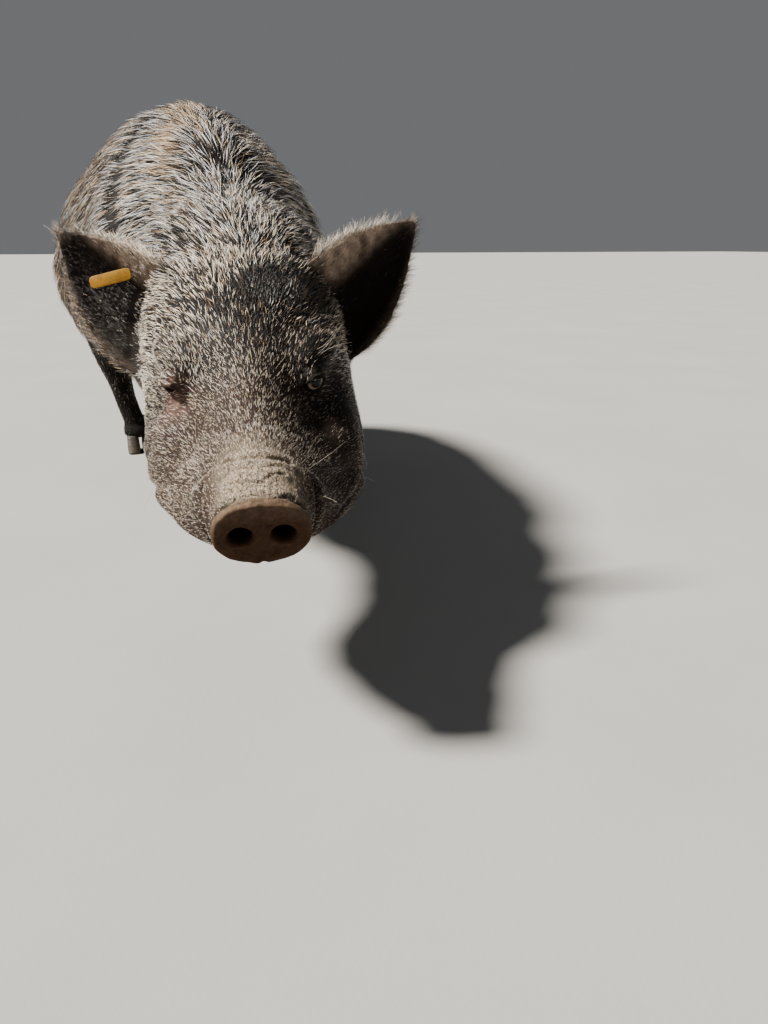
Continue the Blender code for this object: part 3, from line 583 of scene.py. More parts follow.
def masks(p, zones):
    """Where the markings, the painted light and the painted shade lie, each from 0 to 1."""
    out, back, up = to_head(p).T
    up = up + snout_drop(back)
    x, y, z = p.T
    wide, side = np.abs(out), np.abs(x)
    m = dict(zip(ZONES + ("rim", "inside"), zones.T))
    on_top = rise(z, 0.36, 0.46)
    line_x = -0.046 + 0.044 * rise(y, -0.145, 0.01)
    above_axis = 0.785 * (up - 0.03) - 0.626 * (wide - 0.076)
    patch = bump(np.hypot((out - 0.036) / 0.052, (back - 0.209 - 0.45 * out) / 0.03))
    m.update({
        # The nostrils; their near-black tone is painted shade.
        "nostril": (1 - rise(nostril_ring(out, up), 0.8, 1.08)) * (back < 0.03),
        "disc": (1 - rise(back, 0.004, 0.009)) * (wide < 0.06) * (up > -0.045),
        "bridge": rise(up, -0.005, 0.022) * (1 - rise(back, 0.04, 0.092)) * rise(back, 0.004, 0.01)
        * (1 - rise(wide, 0.014, 0.04)),
        "brow": np.clip(2.2 * patch - 0.3, 0, 1) * rise(up, 0.03, 0.05) * m["head"],
        "forehead": bump(np.hypot((out - 0.012) / 0.062, (back - 0.19) / 0.036))
        * rise(up, 0.03, 0.045),
        # Painted shade round the left eye on the shaded side of the face, together with the darker skin
        # there.
        "hollow": bump(np.hypot(np.hypot(out - 0.052, back - 0.145) / 0.04, (up - 0.018) / 0.042)) ** 0.7,
        "bag": bump(np.hypot(np.hypot(out + 0.057, back - 0.147) / 0.0135, (up - 0.013) / 0.0165)),
        "shade_side": rise(out, 0.03, 0.07) * m["head"] * (1 - rise(back, 0.16, 0.2)),
        # Painted shade low on the flanks and belly.
        "low": rise(0.37 - z, 0.0, 0.08) * (m["trunk"] + m["upper"]),
        # The top of each ear's inside, where light is painted on the ear; below it the ear gets painted
        # shade.
        "ear_top_painted_light": rise(above_axis, 0.0, 0.02) * m["ear"],
        "streak": bump((x - line_x) / 0.013) * on_top * (m["trunk"] + m["neck"]) * (1 - rise(y, 0.05, 0.3)),
        # Painted shade along the crease behind the shoulder.
        "crease": bump(line_distance(y, z, SHOULDER[:4]) / 0.016) * rise(side, 0.03, 0.07) * m["trunk"],
        # Painted sheen on the shoulder, where sunlit bristles glint.
        "shoulder": bump(np.hypot((side - 0.085) / 0.045, (y + 0.1) / 0.06)) * m["trunk"],
        "rump": rise(y, -0.02, 0.06) * rise(-x, 0.02, 0.1) * m["trunk"],
    })
    return m


def skin_colour(p, m):
    colour = np.broadcast_to(DARK_SKIN, (len(p), 3)).copy()

    def lay_over(tone, amount):
        colour[:] = colour + (tone - colour) * np.clip(amount, 0, 1)[:, None]

    out, back, up = to_head(p).T
    up = up + snout_drop(back)
    warm = 0.05 + 0.08 * lumps(p, 0.03, 21) + 0.3 * rise(0.175 - back, 0.0, 0.05)
    lay_over(WARM_SKIN, warm * m["head"])
    # The ear's own dark skin, made darker still as painted shade.
    lay_over(EAR_SKIN_WITH_SHADE, m["ear"])
    # Painted light on the sunlit top of the ear's inside and on its rim.
    lay_over(EAR_PAINTED_LIGHT, m["ear"] * (0.15 * m["rim"] + (0.55 + 0.25 * lumps(p, 0.005, 23)) * m["ear_top_painted_light"]))
    # Painted shade round the left eye, over its darker skin.
    lay_over(DARK_SKIN * 0.5, m["hollow"] * 0.8)
    lay_over(DUST, m["bridge"] * (0.78 + 0.16 * lumps(p, 0.008, 4)))
    lay_over(DISC_SKIN, m["disc"])
    lay_over(WARM_SKIN, m["disc"] * 0.45 * rise(up, 0.0, 0.02))
    # Painted shade in the groove behind the top of the disc.
    groove = bump((back - 0.0128) / 0.0036) * (0.25 + 0.75 * bump((np.abs(out) - 0.024) / 0.01)) * (up > 0)
    lay_over(DARK_SKIN, 0.9 * groove * m["head"])
    rim = bump((disc_reach(out, up) - 0.95) / 0.08) * (back < 0.01)
    lay_over(RIM_SKIN, rim * (0.08 + 0.6 * rise(up, -0.01, 0.018)))
    # Painted shade inside the nostrils.
    lay_over(DARK_SKIN * 0.1, m["nostril"])
    lay_over(PINK_SKIN, m["bag"] * (0.75 + 0.25 * lumps(p, 0.003, 6)))
    for side, lid_width in (("right", 0.003), ("left", 0.006)):
        near = eye_distance(p, side) < LID_REACH
        lay_over(DARK_SKIN * 0.6, bump(lid_place(p, side)[4] / lid_width) * near)
    lay_over(DARK_SKIN * 0.5, m["brow"])
    return colour


# ---------- materials
class Finish:
    """A material, and helpers that add nodes to it and give back their outputs."""

    def __init__(self, name, roughness, specular, **others):
        self.material = bpy.data.materials.new(name)
        self.material.use_nodes = True
        self.tree = self.material.node_tree
        self.shader = self.tree.nodes["Principled BSDF"]
        self.feed(self.shader, {"Roughness": roughness, "Specular IOR Level": specular, **others})
        self.place = self.node("TexCoord", out="Object")

    def feed(self, made, sockets):
        """Sets a node's inputs, each to a value or to the output that drives it."""
        for key, value in sockets.items():
            if isinstance(value, bpy.types.NodeSocket):
                self.tree.links.new(value, made.inputs[key])
            else:
                made.inputs[key].default_value = value

    def node(self, kind, *feeds, out=0, **settings):
        made = self.tree.nodes.new("ShaderNode" + kind)
        sockets = dict(enumerate(feeds))
        for key, value in settings.items():
            if key in made.inputs:
                sockets[key] = value
            else:
                setattr(made, key, value)
        self.feed(made, sockets)
        return made.outputs[out]

    def attribute(self, name, out="Fac"):
        return self.node("Attribute", attribute_name=name, out=out)

    def noise(self, scale, detail=4.0, rough=0.6, place=None, out="Fac"):
        return self.node("TexNoise", out=out, Vector=place or self.place, Scale=scale, Detail=detail,
                         Roughness=rough)

    def cells(self, scale, place=None):
        """Distance to the edges of random cells."""
        return self.node("TexVoronoi", out="Distance", feature="DISTANCE_TO_EDGE", Scale=scale,
                         Vector=place or self.place)

    def ranged(self, value, low, high, to_low, to_high):
        return self.node("MapRange", value, low, high, to_low, to_high)

    def varied(self, scale, low, high, detail=4.0, rough=0.6):
        """A number that changes from place to place between two values."""
        return self.ranged(self.noise(scale, detail, rough), 0.3, 0.7, low, high)

    def product(self, first, second):
        return self.node("Math", first, second, operation="MULTIPLY")

    def scaled(self, colour, factor):
        return self.node("VectorMath", colour, operation="SCALE", Scale=factor)

    def bumped(self, height, strength, distance, **before):
        return self.node("Bump", out="Normal", Height=height, Strength=strength, Distance=distance,
                         **before)

    def ramp(self, value, stops):
        """The value's colour on a ramp of positions and colours."""
        colour = self.node("ValToRGB", value, out="Color")
        elements = colour.node.color_ramp.elements
        elements[0].position, elements[1].position = stops[0][0], stops[-1][0]
        for position, _ in stops[1:-1]:
            elements.new(position)
        for element, (_, tone) in zip(elements, stops):
            element.color = (*tone, 1)
        return colour

    def shaded(self, colour, **sockets):
        """Feeds the shader and gives back the material."""
        self.feed(self.shader, {"Base Color": colour, **sockets})
        return self.material


def skin_material():
    skin = Finish("pig_skin", 0.7, 0.08)
    creased = skin.attribute("creased")
    # The dry skin of the bridge is cracked into small plates.
    wander = skin.noise(160.0, 2.0, 0.5, out="Color")
    moved = skin.node("VectorMath", wander, (0.004, 0.004, 0.004), skin.place, operation="MULTIPLY_ADD")
    dry = skin.product(skin.ranged(skin.cells(270.0, moved), 0.0, 0.075, 1.0, 0.0), creased)
    mottle = skin.product(skin.varied(260.0, 0.55, 1.5, 6.0, 0.7), skin.ranged(dry, 0.0, 1.0, 1.0, 0.42))
    pores = skin.bumped(skin.ranged(skin.cells(800.0), 0.0, 0.1, 0.0, 1.0), 0.3, 0.0004)
    plates = skin.bumped(skin.ranged(dry, 0.0, 1.0, 1.0, 0.0), 0.9, 0.0011, Normal=pores)
    wrinkles = skin.bumped(skin.noise(330.0, 5.0, 0.65), 0.55, 0.0012, Normal=plates)
    # Fine lines that run along the bridge
    turned = skin.node("VectorRotate", rotation_type="EULER_XYZ", invert=True, Vector=skin.place,
                       Rotation=HEAD_TURN.to_euler())
    stretched = skin.node("VectorMath", turned, (1.0, 0.22, 1.0), operation="MULTIPLY")
    lines = skin.ranged(skin.noise(620.0, 3.0, 0.5, stretched), 0.42, 0.54, 0.0, 1.0)
    lined = skin.bumped(skin.product(lines, creased), 0.8, 0.0011, Normal=wrinkles)
    return skin.shaded(skin.scaled(skin.attribute("tone", "Color"), mottle),
                       Normal=skin.bumped(skin.noise(1300.0, 3.0), 0.4, 0.0005, Normal=lined),
                       Roughness=skin.varied(90.0, 0.52, 0.84))


def bristle_material(name, roughness, specular):
    """Each bristle has its own tone, darker at the root, and changes slightly along it."""
    hair = Finish(name, roughness, specular)
    return hair.shaded(hair.scaled(hair.attribute("tone", "Color"), hair.varied(700.0, 0.75, 1.25, 2.0)),
                       Roughness=hair.varied(1500.0, roughness - 0.08, roughness + 0.12, 2.0))


# ---------- the lay of the coat
def lay_of(p, found):
    """The way the coat lies at each place, before it is laid along the skin."""
    out = to_head(p)[:, 0]
    left, backwards, upwards = AXES[:, 0], AXES[:, 1], AXES[:, 2]
    left, backwards, upwards = AXES.T
    x = p[:, 0]
    fall = np.clip(np.abs(x) / 0.15, 0, 1)[:, None]
    parting = np.sign(x)[:, None] * (1 - fall) * np.minimum(np.abs(x)[:, None] / 0.03, 1)
    trunk_lay = (np.array((0, 1.0, -0.15)) + fall * np.array((0, -0.15, -1.0))
                 + parting * np.array((0.55, 0, 0)))
    spread = np.clip(out / 0.09, -1, 1)[:, None]
    head_lay = backwards + left * spread * 0.75 - upwards * np.abs(spread) * 0.35
    for side in SIDES:
        away = p - eye_frame(side)[0]
        near = bump(size(away) / 0.017)[:, None]
        head_lay = head_lay + unit(away) * near * 1.2
    lays = {"head": head_lay, "neck": head_lay * 0.5 + trunk_lay * 0.5, "trunk": trunk_lay,
            "tail": np.broadcast_to((0, 0.25, -1.0), p.shape)}
    lay = np.broadcast_to((0, 0.3, -1.0), p.shape).copy()
    for index, node in enumerate(FLESH):
        here = found == index
        zone = zone_of(node)
        if zone == "ear":
            _, edge, along, across, _ = ear_place(p[here], node[4:])
            outwards = np.sign(edge) * rise(np.abs(edge), 0.2, 1.0)
            lay[here] = along + across * (outwards * 0.8)[:, None]
        elif zone in lays:
            lay[here] = lays[zone][here]
    return lay


def paint_skin(skin):
    """Puts the tone on the skin and works out the coat's lay and zones there."""
    mesh = skin.data
    co, normal, edges = points_of(mesh), normals_of(mesh), edges_of(mesh)
    found = nearest_flesh(co)
    lay = averaged(unit(lay_of(co, found)), edges, 0.6, 14)
    lay = unit(lay - normal * np.sum(lay * normal, 1, keepdims=True))
    rim, inside = ear_parts(co, normal)
    zones = np.stack([by_node(found, lambda node: zone_of(node) == zone) for zone in ZONES], 1)
    zones = averaged(zones, edges, 0.7, 40)
    rim, inside = averaged(np.stack((rim, inside), 1), edges, 0.5, 3).T
    zones = np.column_stack((zones, rim * zones[:, 1], inside * zones[:, 1]))
    marks = masks(co, zones)
    write_tone(mesh, skin_colour(co, marks))
    write_values(mesh, "creased", marks["bridge"])
    mesh.materials.clear()
    mesh.materials.append(skin_material())
    return {"co": co, "normal": normal, "lay": lay, "found": found, "zones": zones, "marks": marks}


# ---------- the coat
def unwrap_finder(skin):
    """Finds the place of a point on an unwrap of the skin's own shape."""
    coarse = add_object("unwrap", skin.data.copy())
    apply_modifier(coarse, "DECIMATE", ratio=0.07, use_collapse_triangulate=True)
    edit_all(coarse, (bpy.ops.uv.smart_project, {"angle_limit": math.radians(66), "island_margin": 0.004}))
    mesh = coarse.data
    co, faces = points_of(mesh), triangles_of(mesh)
    uv = read(mesh.uv_layers.active.data, "uv", 2).reshape(-1, 3, 2)
    tree = BVHTree.FromPolygons(co.tolist(), faces.tolist())
    bpy.data.objects.remove(coarse, do_unlink=True)

    def find(points):
        hits = [tree.find_nearest(point) for point in points.tolist()]
        place = np.array([tuple(hit[0]) for hit in hits])
        face = np.array([hit[2] for hit in hits])
        a, b, c = co[faces[face, 0]], co[faces[face, 1]], co[faces[face, 2]]
        whole = np.cross(b - a, c - a)
        size = np.maximum(np.sum(whole * whole, 1), 1e-18)
        wb = np.sum(np.cross(place - a, c - a) * whole, 1) / size
        wc = np.sum(np.cross(b - a, place - a) * whole, 1) / size
        first, second, third = uv[face].transpose(1, 0, 2)
        return first * (1 - wb - wc)[:, None] + second * wb[:, None] + third * wc[:, None]

    return find


def scatter(skin, field, density, count):
    """Root places over the skin, closer together where the density is greater."""
    faces = triangles_of(skin.data)
    co = field["co"]
    a, b, c = (co[faces[:, k]] for k in range(3))
    area = size(np.cross(b - a, c - a)) / 2
    share = area * density[faces].mean(1)
    total = np.cumsum(share)
    steps = (np.arange(count) + chance.uniform(0, 1, count)) / count * total[-1]
    face = np.minimum(np.searchsorted(total, steps), len(faces) - 1)
    u, v = chance.uniform(0, 1, (2, count))
    flip = u + v > 1
    u[flip], v[flip] = 1 - u[flip], 1 - v[flip]
    weights = np.stack((1 - u - v, u, v), 1)
    corner = faces[face]

    def mixed(values):
        return np.sum(values[corner] * weights[:, :, None], 1)

    return {"root": mixed(co), "normal": unit(mixed(field["normal"])),
            "lay": unit(mixed(field["lay"])), "zones": mixed(field["zones"])}


def build_bristles(name, roots, length, thick, lift, droop, colour, material, unwrap, rings, curl=0.12,
                   tufting=0.0):
    """Closed bristles, three-sided and tapering, joined as one mesh."""
    count = len(roots["root"])
    normal, lay = roots["normal"], roots["lay"]
    side = np.cross(normal, lay)
    swing = chance.normal(0, 0.15, count) + tufting * lumps(roots["root"], 0.014, 17)
    lay = unit(lay + side * swing[:, None])
    side = unit(np.cross(normal, lay))
    lift = lift * chance.uniform(0.6, 1.5, count)
    curl = chance.normal(0, curl, count)
    centre = roots["root"] - normal * ROOT_DEPTH
    stops = list(rings) + [1.0]
    corners, share = [], []
    for height, further in zip(stops, stops[1:]):
        width = (thick * math.sqrt(1 - height))[:, None]
        for k in range(3):
            angle = 2 * math.pi * k / 3 + 0.5
            corners.append(centre + (side * math.cos(angle) + normal * math.sin(angle)) * width)
            share.append(height)
        middle = (height + further) / 2
        climb = lift * (1 + (droop - 1) * middle / 0.7)
        way = lay * np.cos(climb)[:, None] + normal * np.sin(climb)[:, None]
        way = unit(way + side * (curl * 2 * middle)[:, None])
        centre = centre + way * (length * (further - height))[:, None]
    points = np.stack(corners + [centre], 1)  # bristle, corner, xyz
    per = points.shape[1]
    faces = [(0, 2, 1)]
    for ring in range(len(rings) - 1):
        for k in range(3):
            a, b = 3 * ring + k, 3 * ring + (k + 1) % 3
            faces += [(a, b, b + 3), (a, b + 3, a + 3)]
    last = 3 * (len(rings) - 1)
    faces += [(last + k, last + (k + 1) % 3, per - 1) for k in range(3)]
    faces = np.array(faces)
    corner_index = (faces[None] + (np.arange(count) * per)[:, None, None]).astype(np.int32).ravel()
    mesh = bpy.data.meshes.new(name)
    mesh.vertices.add(count * per)
    mesh.vertices.foreach_set("co", points.astype(np.float32).ravel())
    mesh.loops.add(len(corner_index))
    mesh.loops.foreach_set("vertex_index", corner_index)
    starts = np.arange(0, len(corner_index), 3, dtype=np.int32)
    mesh.polygons.add(len(starts))
    mesh.polygons.foreach_set("loop_start", starts)
    mesh.update(calc_edges=True)
    mesh.polygons.foreach_set("use_smooth", np.ones(len(starts), bool))
    share = np.array(share + [1.0])
    darker_root = (0.35 + 0.65 * np.minimum(1, share * 2.2))[None, :, None]
    write_tone(mesh, (colour[:, None, :] * darker_root).reshape(-1, 3))
    # The bake's map: a small patch for each bristle, at its root's place on the unwrapped skin
    place = np.clip(unwrap(roots["root"]), 0.003, 0.997)
    angles = np.array([2 * math.pi * (k % 3) / 3 for k in range(per)])
    local = np.stack((np.cos(angles), np.sin(angles)), 1) * (0.0015 * (1 - share * 0.9))[:, None]
    uv = (place[:, None, :] + local[None])[:, faces.ravel()]
    mesh.uv_layers.new(name="OFBake").data.foreach_set("uv", uv.astype(np.float32).ravel())
    made = add_object(name, mesh)
    mesh.materials.append(material)
    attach(made, "root")


# The coat's length in each zone but the head
ZONE_LENGTH = {"ear": 0.0062, "neck": 0.02, "trunk": 0.031, "upper": 0.018, "lower": 0.0095, "tail": 0.014}


def coat_length(p, m):
    """Length of the coat at each place."""
    out, back, _ = to_head(p).T
    length = m["head"] * (0.0025 + 0.0023 * rise(back, 0.03, 0.13) + 0.006 * rise(back, 0.15, 0.22)
                          + 0.005 * rise(back, 0.22, 0.29)) * (1 - 0.25 * rise(np.abs(out), 0.06, 0.09))
    for zone, long in ZONE_LENGTH.items():
        length = length + m[zone] * long
    crest = bump(p[:, 0] / 0.05) * rise(p[:, 2], 0.36, 0.44) * (1 - m["head"])
    belly = rise(0.24 - p[:, 2], 0, 0.06) * m["trunk"]
    foot = rise(0.08 - p[:, 2], 0, 0.05)
    return length * (1 + 0.2 * crest) * (1 - 0.35 * belly) * (1 - 0.3 * foot)


def coat_colour(p, m):
    """A tone for each bristle, drawn from those of its place."""
    count = len(p)
    back = to_head(p)[:, 1]
    # The pale bristles on the top of each ear's inside are painted light.
    pale = (m["head"] * (0.36 - 0.03 * rise(back, 0.215, 0.265)) + 0.31 * m["neck"] + 0.3 * m["trunk"]
            + 0.12 * m["upper"] + 0.05 * m["lower"] + 0.2 * m["tail"]
            + m["ear"] * (0.08 * (1 - rise(m["inside"], 0.1, 0.4)) + 0.6 * m["ear_top_painted_light"] + 0.02 * m["rim"]))
    strands = lumps(p * np.array((1.0, 0.2, 0.2)), 0.0022, 33) * (m["trunk"] + m["neck"])
    # The extra pale bristles on the shoulder are painted sheen.
    pale = pale + 0.06 * lumps(p, 0.03, 31) + 0.25 * strands + 0.1 * m["bridge"] + 0.25 * m["shoulder"]
    # Fewer pale bristles: painted shade round the left eye, where the skin is also darker, painted shade
    # along the shoulder crease, and a darker forehead.
    pale = pale * (1 - 0.88 * m["hollow"]) * (1 - 0.8 * m["forehead"]) * (1 - 0.7 * m["crease"])
    # Fewer pale bristles on the brow's dark patch, with painted shade low on the flanks and on the shaded
    # side of the face.
    pale = pale * (1 - 0.94 * m["brow"]) * (1 - 0.7 * m["low"]) * (1 - 0.5 * m["shade_side"])
    tan = 0.05 + 0.62 * m["streak"] + 0.16 * m["rump"] + m["ear"] * (0.14 * m["rim"] - 0.04)
    pick, second, third = chance.uniform(0, 1, (3, count))
    brown = (third < 0.18 + 0.45 * m["ear"] + 0.25 * m["lower"])[:, None]
    colour = np.where(brown, BROWN_HAIR, DARK_HAIR) * chance.uniform(0.4, 1.2, count)[:, None]
    tone = np.where((second < 0.1 + 0.5 * (m["trunk"] + m["neck"]))[:, None], GREY_HAIR, PALE_HAIR)
    colour = np.where((pick < pale)[:, None], tone * chance.uniform(0.72, 1.08, count)[:, None], colour)
    # Painted shade: the ear's bristles are darkened below its top and away from its rim.
    colour = colour * (1 - 0.7 * m["ear"] * (1 - m["ear_top_painted_light"]) * (1 - m["rim"]))[:, None]
    is_tan = (chance.uniform(0, 1, count) < tan * (1 - m["brow"]))[:, None]
    return np.where(is_tan, TAN_HAIR * chance.uniform(0.4, 1.2, count)[:, None], colour)


WHISKER_RADIUS = 0.00013
SHORT, LONG, WHISKER = (0.0,), (0.0, 0.45), (0.0, 0.2, 0.4, 0.6, 0.8)  # rings along a bristle
BODY = (("trunk", "upper"), 16500, 0.00037, 0.19, 0.15, LONG, 0.24, 1.0, "long")
# Pieces of the coat: zones, bristles, radius, lift, droop, rings, tufting, stretch and finish
COAT = {
    "coat_muzzle": (("head",), 30000, 0.00019, 0.5, 0.7, SHORT, 0.0, 1.0, "short"),
    "coat_face": (("head",), 46000, 0.00019, 0.38, 0.6, SHORT, 0.0, 1.0, "short"),
    "coat_crown": (("head",), 18500, 0.00029, 0.36, 0.45, LONG, 0.25, 1.0, "long"),
    "coat_nape": (("neck",), 18500, 0.00034, 0.28, 0.35, LONG, 0.25, 1.0, "long"),
    "coat_front_right": BODY, "coat_front_left": BODY, "coat_rear_right": BODY, "coat_rear_left": BODY,
    "coat_ears": (("ear",), 15000, 0.00016, 0.26, 0.5, SHORT, 0.0, 1.0, "short"),
    "coat_ear_rims": (("ear",), 2800, 0.00012, 0.55, 0.6, LONG, 0.0, 1.9, "short"),
    "coat_legs": (("lower",), 13500, 0.0003, 0.2, 0.4, SHORT, 0.0, 1.0, "short"),
    "coat_tail": (("tail",), 1800, 0.0004, 0.2, 0.2, LONG, 0.0, 1.0, "long"),
}

# Long single hairs: middle of the group and its spread in millimetres, the way they grow, length, number
WHISKERS = (
    ((60, 162, 40), 6, (0.75, 0.1, 0.55), 36, 3),  # over the eye
    ((40, 64, 4), 10, (0.5, 0.55, 0.7), 40, 2),  # cheek
    ((36, 40, -14), 8, (0.9, -0.1, -0.15), 22, 3),  # lip
    ((72, 105, -35), 10, (0.8, 0.2, -0.55), 30, 3),  # jowl
    ((14, 30, -52), 10, (0.3, 0.2, -0.9), 20, 4),  # chin
)


def build_whiskers(skin, material, unwrap):
    tree = BVHTree.FromPolygons(points_of(skin.data).tolist(), triangles_of(skin.data).tolist())
    rows = []
    for sign in SIDES.values():
        for middle, spread, way, length, number in WHISKERS:
            for _ in range(number):
                place = (np.array(middle) + chance.normal(0, spread * 0.6, 3)) / 1000
                root, normal = tree.find_nearest(in_head(place * (sign, 1, 1)))[:2]
                lay = AXES @ (np.array(way) * (sign, 1, 1)) + chance.normal(0, 0.12, 3)
                rows.append((*root, *normal, *lay, length / 1000 * chance.uniform(0.7, 1.2)))
    root, normal, lay, length = np.split(np.array(rows), (3, 6, 9), 1)
    lay = unit(lay)
    flat = lay - normal * np.sum(lay * normal, 1, keepdims=True)
    lift = np.arctan2(np.sum(lay * normal, 1), size(flat))
    roots = {"root": root, "normal": normal, "lay": unit(flat)}
    count = len(root)
    colour = PALE_HAIR * chance.uniform(0.35, 0.7, count)[:, None]
    build_bristles("whiskers", roots, length[:, 0], np.full(count, WHISKER_RADIUS),
                   np.maximum(lift, 0.35), 0.9, colour, material, unwrap, WHISKER, curl=0.5)


def coat_places(field):
    """How thickly each piece of the coat grows, from 0 to 1, where it isn't even."""
    co, marks = field["co"], field["marks"]
    back = to_head(co)[:, 1]
    face = rise(back, 0.006, 0.014) * (marks["nostril"] <= 0)
    for side in SIDES:
        near = eye_distance(co, side) < LID_REACH
        face = face * np.where(near, rise(lid_place(co, side)[4], 0.0018, 0.0045), 1.0)
    face = face * (1 - 0.8 * marks["bag"])
    muzzle, crown = 1 - rise(back, 0.085, 0.1), rise(back, 0.165, 0.2)
    front, right = 1 - rise(co[:, 1], 0.13, 0.15), (co[:, 0] <= 0).astype(float)
    return {"coat_muzzle": face * muzzle, "coat_face": face * (1 - muzzle) * (1 - crown),
            "coat_crown": face * crown, "coat_front_right": front * right,
            "coat_front_left": front * (1 - right), "coat_rear_right": (1 - front) * right,
            "coat_rear_left": (1 - front) * (1 - right), "coat_ears": 1 - 0.4 * marks["inside"],
            "coat_ear_rims": marks["rim"] ** 2}


def build_coat(skin, field):
    unwrap = unwrap_finder(skin)
    finishes = {"long": bristle_material("long_bristles", 0.3, 0.55),
                "short": bristle_material("short_bristles", 0.36, 0.3)}
    places = coat_places(field)
    for name, (zones, count, radius, lift, droop, rings, tufting, stretch, finish) in COAT.items():
        chosen = by_node(field["found"], lambda node: zone_of(node) in zones) * places.get(name, 1.0)
        roots = scatter(skin, field, chosen, count)
        p = roots["root"]
        m = masks(p, roots["zones"])
        length = (coat_length(p, m) * chance.uniform(0.65, 1.25, count)
                  * (1 + 0.12 * lumps(p, 0.02, 9)) * stretch)
        colour = coat_colour(p, m)
        # The pale ones are stouter.
        width = radius * chance.uniform(0.75, 1.2, count) * (0.75 + 0.6 * colour[:, 1])
        build_bristles(name, roots, length, width, lift, droop, colour,
                       finishes[finish], unwrap, rings, tufting=tufting)
    build_whiskers(skin, finishes["short"], unwrap)


# ---------- eyes, claws and tag
# Pupil, iris and white: the place, from 0 at the pupil to 1 at the back, and the colour
EYE_RINGS = ((0.0, (0.001, 0.001, 0.001)), (0.14, (0.002, 0.0015, 0.001)),
             (0.154, (0.1, 0.075, 0.044)), (0.205, (0.24, 0.208, 0.145)),
             (0.232, (0.12, 0.092, 0.06)), (0.252, (0.015, 0.01, 0.008)),
             (0.3, (0.06, 0.038, 0.028)), (0.42, (0.05, 0.028, 0.022)))


def eye_material():
    eye = Finish("eye", 0.25, 0.05, **{"Coat Weight": 0.16, "Coat Roughness": 0.03})
    ragged = eye.ranged(eye.noise(900.0, 3.0), 0.0, 1.0, -0.012, 0.012)
    ring = eye.node("Math", eye.attribute("from_pupil"), ragged, operation="ADD")
    return eye.shaded(eye.scaled(eye.ramp(ring, EYE_RINGS), eye.varied(2200.0, 0.7, 1.3, 2.0)))


def build_eye(side, material):
    middle, across, up, look = eye_frame(side)
    look = unit(look + up * PUPIL_RAISE + across * SIDES[side] * PUPIL_TURN)
    bpy.ops.object.select_all(action="DESELECT")
    bpy.ops.mesh.primitive_uv_sphere_add(segments=48, ring_count=32, radius=EYE_RADIUS)
    eye = bpy.context.object
    eye.name = eye.data.name = "eyeball_" + side
    turn = Vector(look).to_track_quat("Z", "Y").to_matrix().to_4x4()
    co = points_of(eye.data)
    angle = np.arccos(np.clip(co[:, 2] / EYE_RADIUS, -1, 1))
    swell = 1 + 0.04 * (1 - rise(angle, 0.25, 0.85))  # the cornea stands out
    set_points(eye.data, co * swell[:, None])
    eye.data.transform(Matrix.Translation(Vector(middle)) @ turn)
    write_values(eye.data, "from_pupil", angle / math.pi)
    select_only(eye)
    bpy.ops.object.shade_smooth()
    eye.data.materials.append(material)
    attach(eye, "root")
    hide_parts("eye_" + side)


def hoof_material():
    hoof = Finish("hoof_horn", 0.55, 0.4)
    wave = hoof.node("TexWave", out="Fac", bands_direction="Z", Vector=hoof.place, Scale=140.0,
                     Distortion=2.5, Detail=2.0)
    # Dark horn, made darker still as painted shade on the feet.
    horn = hoof.ramp(hoof.noise(120.0, 6.0), ((0.3, (0.013, 0.01, 0.008)), (0.7, (0.058, 0.044, 0.032))))
    dusty = hoof.ranged(hoof.node("SeparateXYZ", hoof.place, out="Z"), 0.0, 0.03, 2.2, 0.8)
    rings = hoof.bumped(wave, 0.35, 0.0008)
    return hoof.shaded(hoof.scaled(horn, dusty), Roughness=hoof.varied(300.0, 0.42, 0.72),
                       Normal=hoof.bumped(hoof.noise(700.0), 0.4, 0.0005, Normal=rings))


def build_claws(material):
    for node in sorted(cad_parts):
        if "claw" not in node:
            continue
        claw = node_copy(node, node + "_horn")
        voxel, rounds = CLAW_DETAIL["dewclaw" in node]
        apply_modifier(claw, "REMESH", mode="VOXEL", voxel_size=voxel)
        apply_modifier(claw, "SMOOTH", factor=0.5, iterations=rounds)
        apply_modifier(claw, "DECIMATE", ratio=0.5)
        select_only(claw)
        bpy.ops.object.shade_smooth()
        claw.data.materials.append(material)
        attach(claw, "root")
        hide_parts(node)


def tag_material():
    tag = Finish("tag_plastic", 0.42, 0.5)
    yellow = ((0.32, (0.24, 0.1, 0.0005)), (0.62, (0.4, 0.195, 0.0005)))
    return tag.shaded(tag.ramp(tag.noise(160.0, 6.0, 0.7), yellow),
                      Normal=tag.bumped(tag.noise(1400.0), 0.3, 0.0003),
                      Roughness=tag.varied(400.0, 0.32, 0.6))


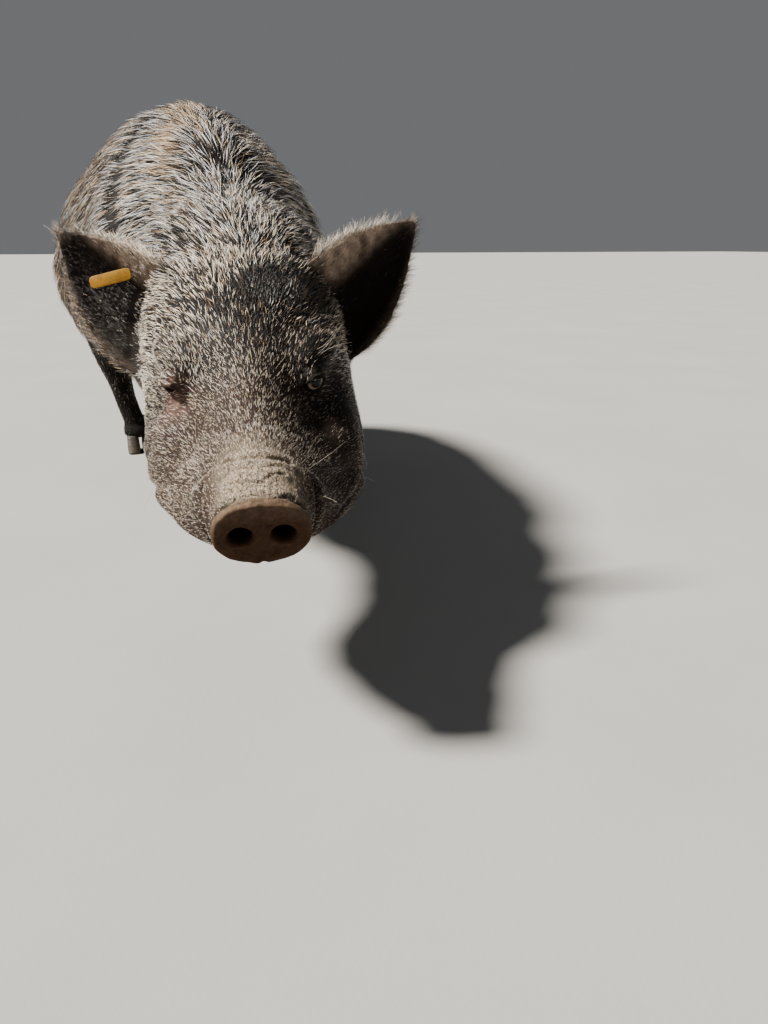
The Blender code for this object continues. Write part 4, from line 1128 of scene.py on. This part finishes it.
def build_tag(material):
    for node, width in (("tag_bar", 0.0005), ("tag_button", 0.0004), ("tag_pin", 0.0002)):
        piece = node_copy(node, node + "_yellow")
        apply_modifier(piece, "BEVEL", width=width, segments=3, limit_method="ANGLE",
                       angle_limit=math.radians(40))
        select_only(piece)
        bpy.ops.object.shade_smooth_by_angle(angle=math.radians(50))
        piece.data.materials.append(material)
        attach(piece, "root")
        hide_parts(node)


# ---------- floor, lights and camera
def build_floor():
    bpy.ops.object.select_all(action="DESELECT")
    bpy.ops.mesh.primitive_plane_add(size=60)
    floor = bpy.context.object
    floor.name = "floor"
    pale = Finish("floor_pale", 0.8, 0.2)
    tones = ((0.3, (0.3, 0.294, 0.284)), (0.7, (0.325, 0.319, 0.308)))
    floor.data.materials.append(pale.shaded(pale.ramp(pale.noise(3.0), tones),
                                            Normal=pale.bumped(pale.noise(240.0), 0.15, 0.001)))


def build_lights():
    sun = bpy.data.lights.new("key", "SUN")
    sun.energy, sun.angle, sun.color = SUN_STRENGTH, SUN_SPREAD, SUN_COLOUR
    add_object("key", sun).rotation_euler = Vector(SUN_FROM).to_track_quat("Z", "Y").to_euler()
    world = bpy.data.worlds.new("studio")
    bpy.context.scene.world = world
    world.use_nodes = True
    back = world.node_tree.nodes["Background"]
    back.inputs["Color"].default_value = WORLD_COLOUR
    back.inputs["Strength"].default_value = WORLD_STRENGTH


def build_camera():
    data = bpy.data.cameras.new("camera")
    data.lens, data.sensor_width, data.sensor_fit = CAMERA_LENS, SENSOR_WIDTH, "AUTO"
    camera = add_object("camera", data)
    camera.location = SNOUT + np.array(CAMERA_FROM_SNOUT)
    way = Vector((math.sin(CAMERA_HEADING) * math.cos(CAMERA_FALL),
                  math.cos(CAMERA_HEADING) * math.cos(CAMERA_FALL), -math.sin(CAMERA_FALL)))
    camera.rotation_euler = way.to_track_quat("-Z", "Y").to_euler()
    bpy.context.scene.camera = camera


# ---------- the whole pig
build_camera()
build_lights()
build_floor()
skin = build_skin()
sculpt(skin)
field = paint_skin(skin)
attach(skin, "root")
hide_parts(*FLESH)
build_coat(skin, field)
eye_finish = eye_material()
for side in SIDES:
    build_eye(side, eye_finish)
build_claws(hoof_material())
build_tag(tag_material())
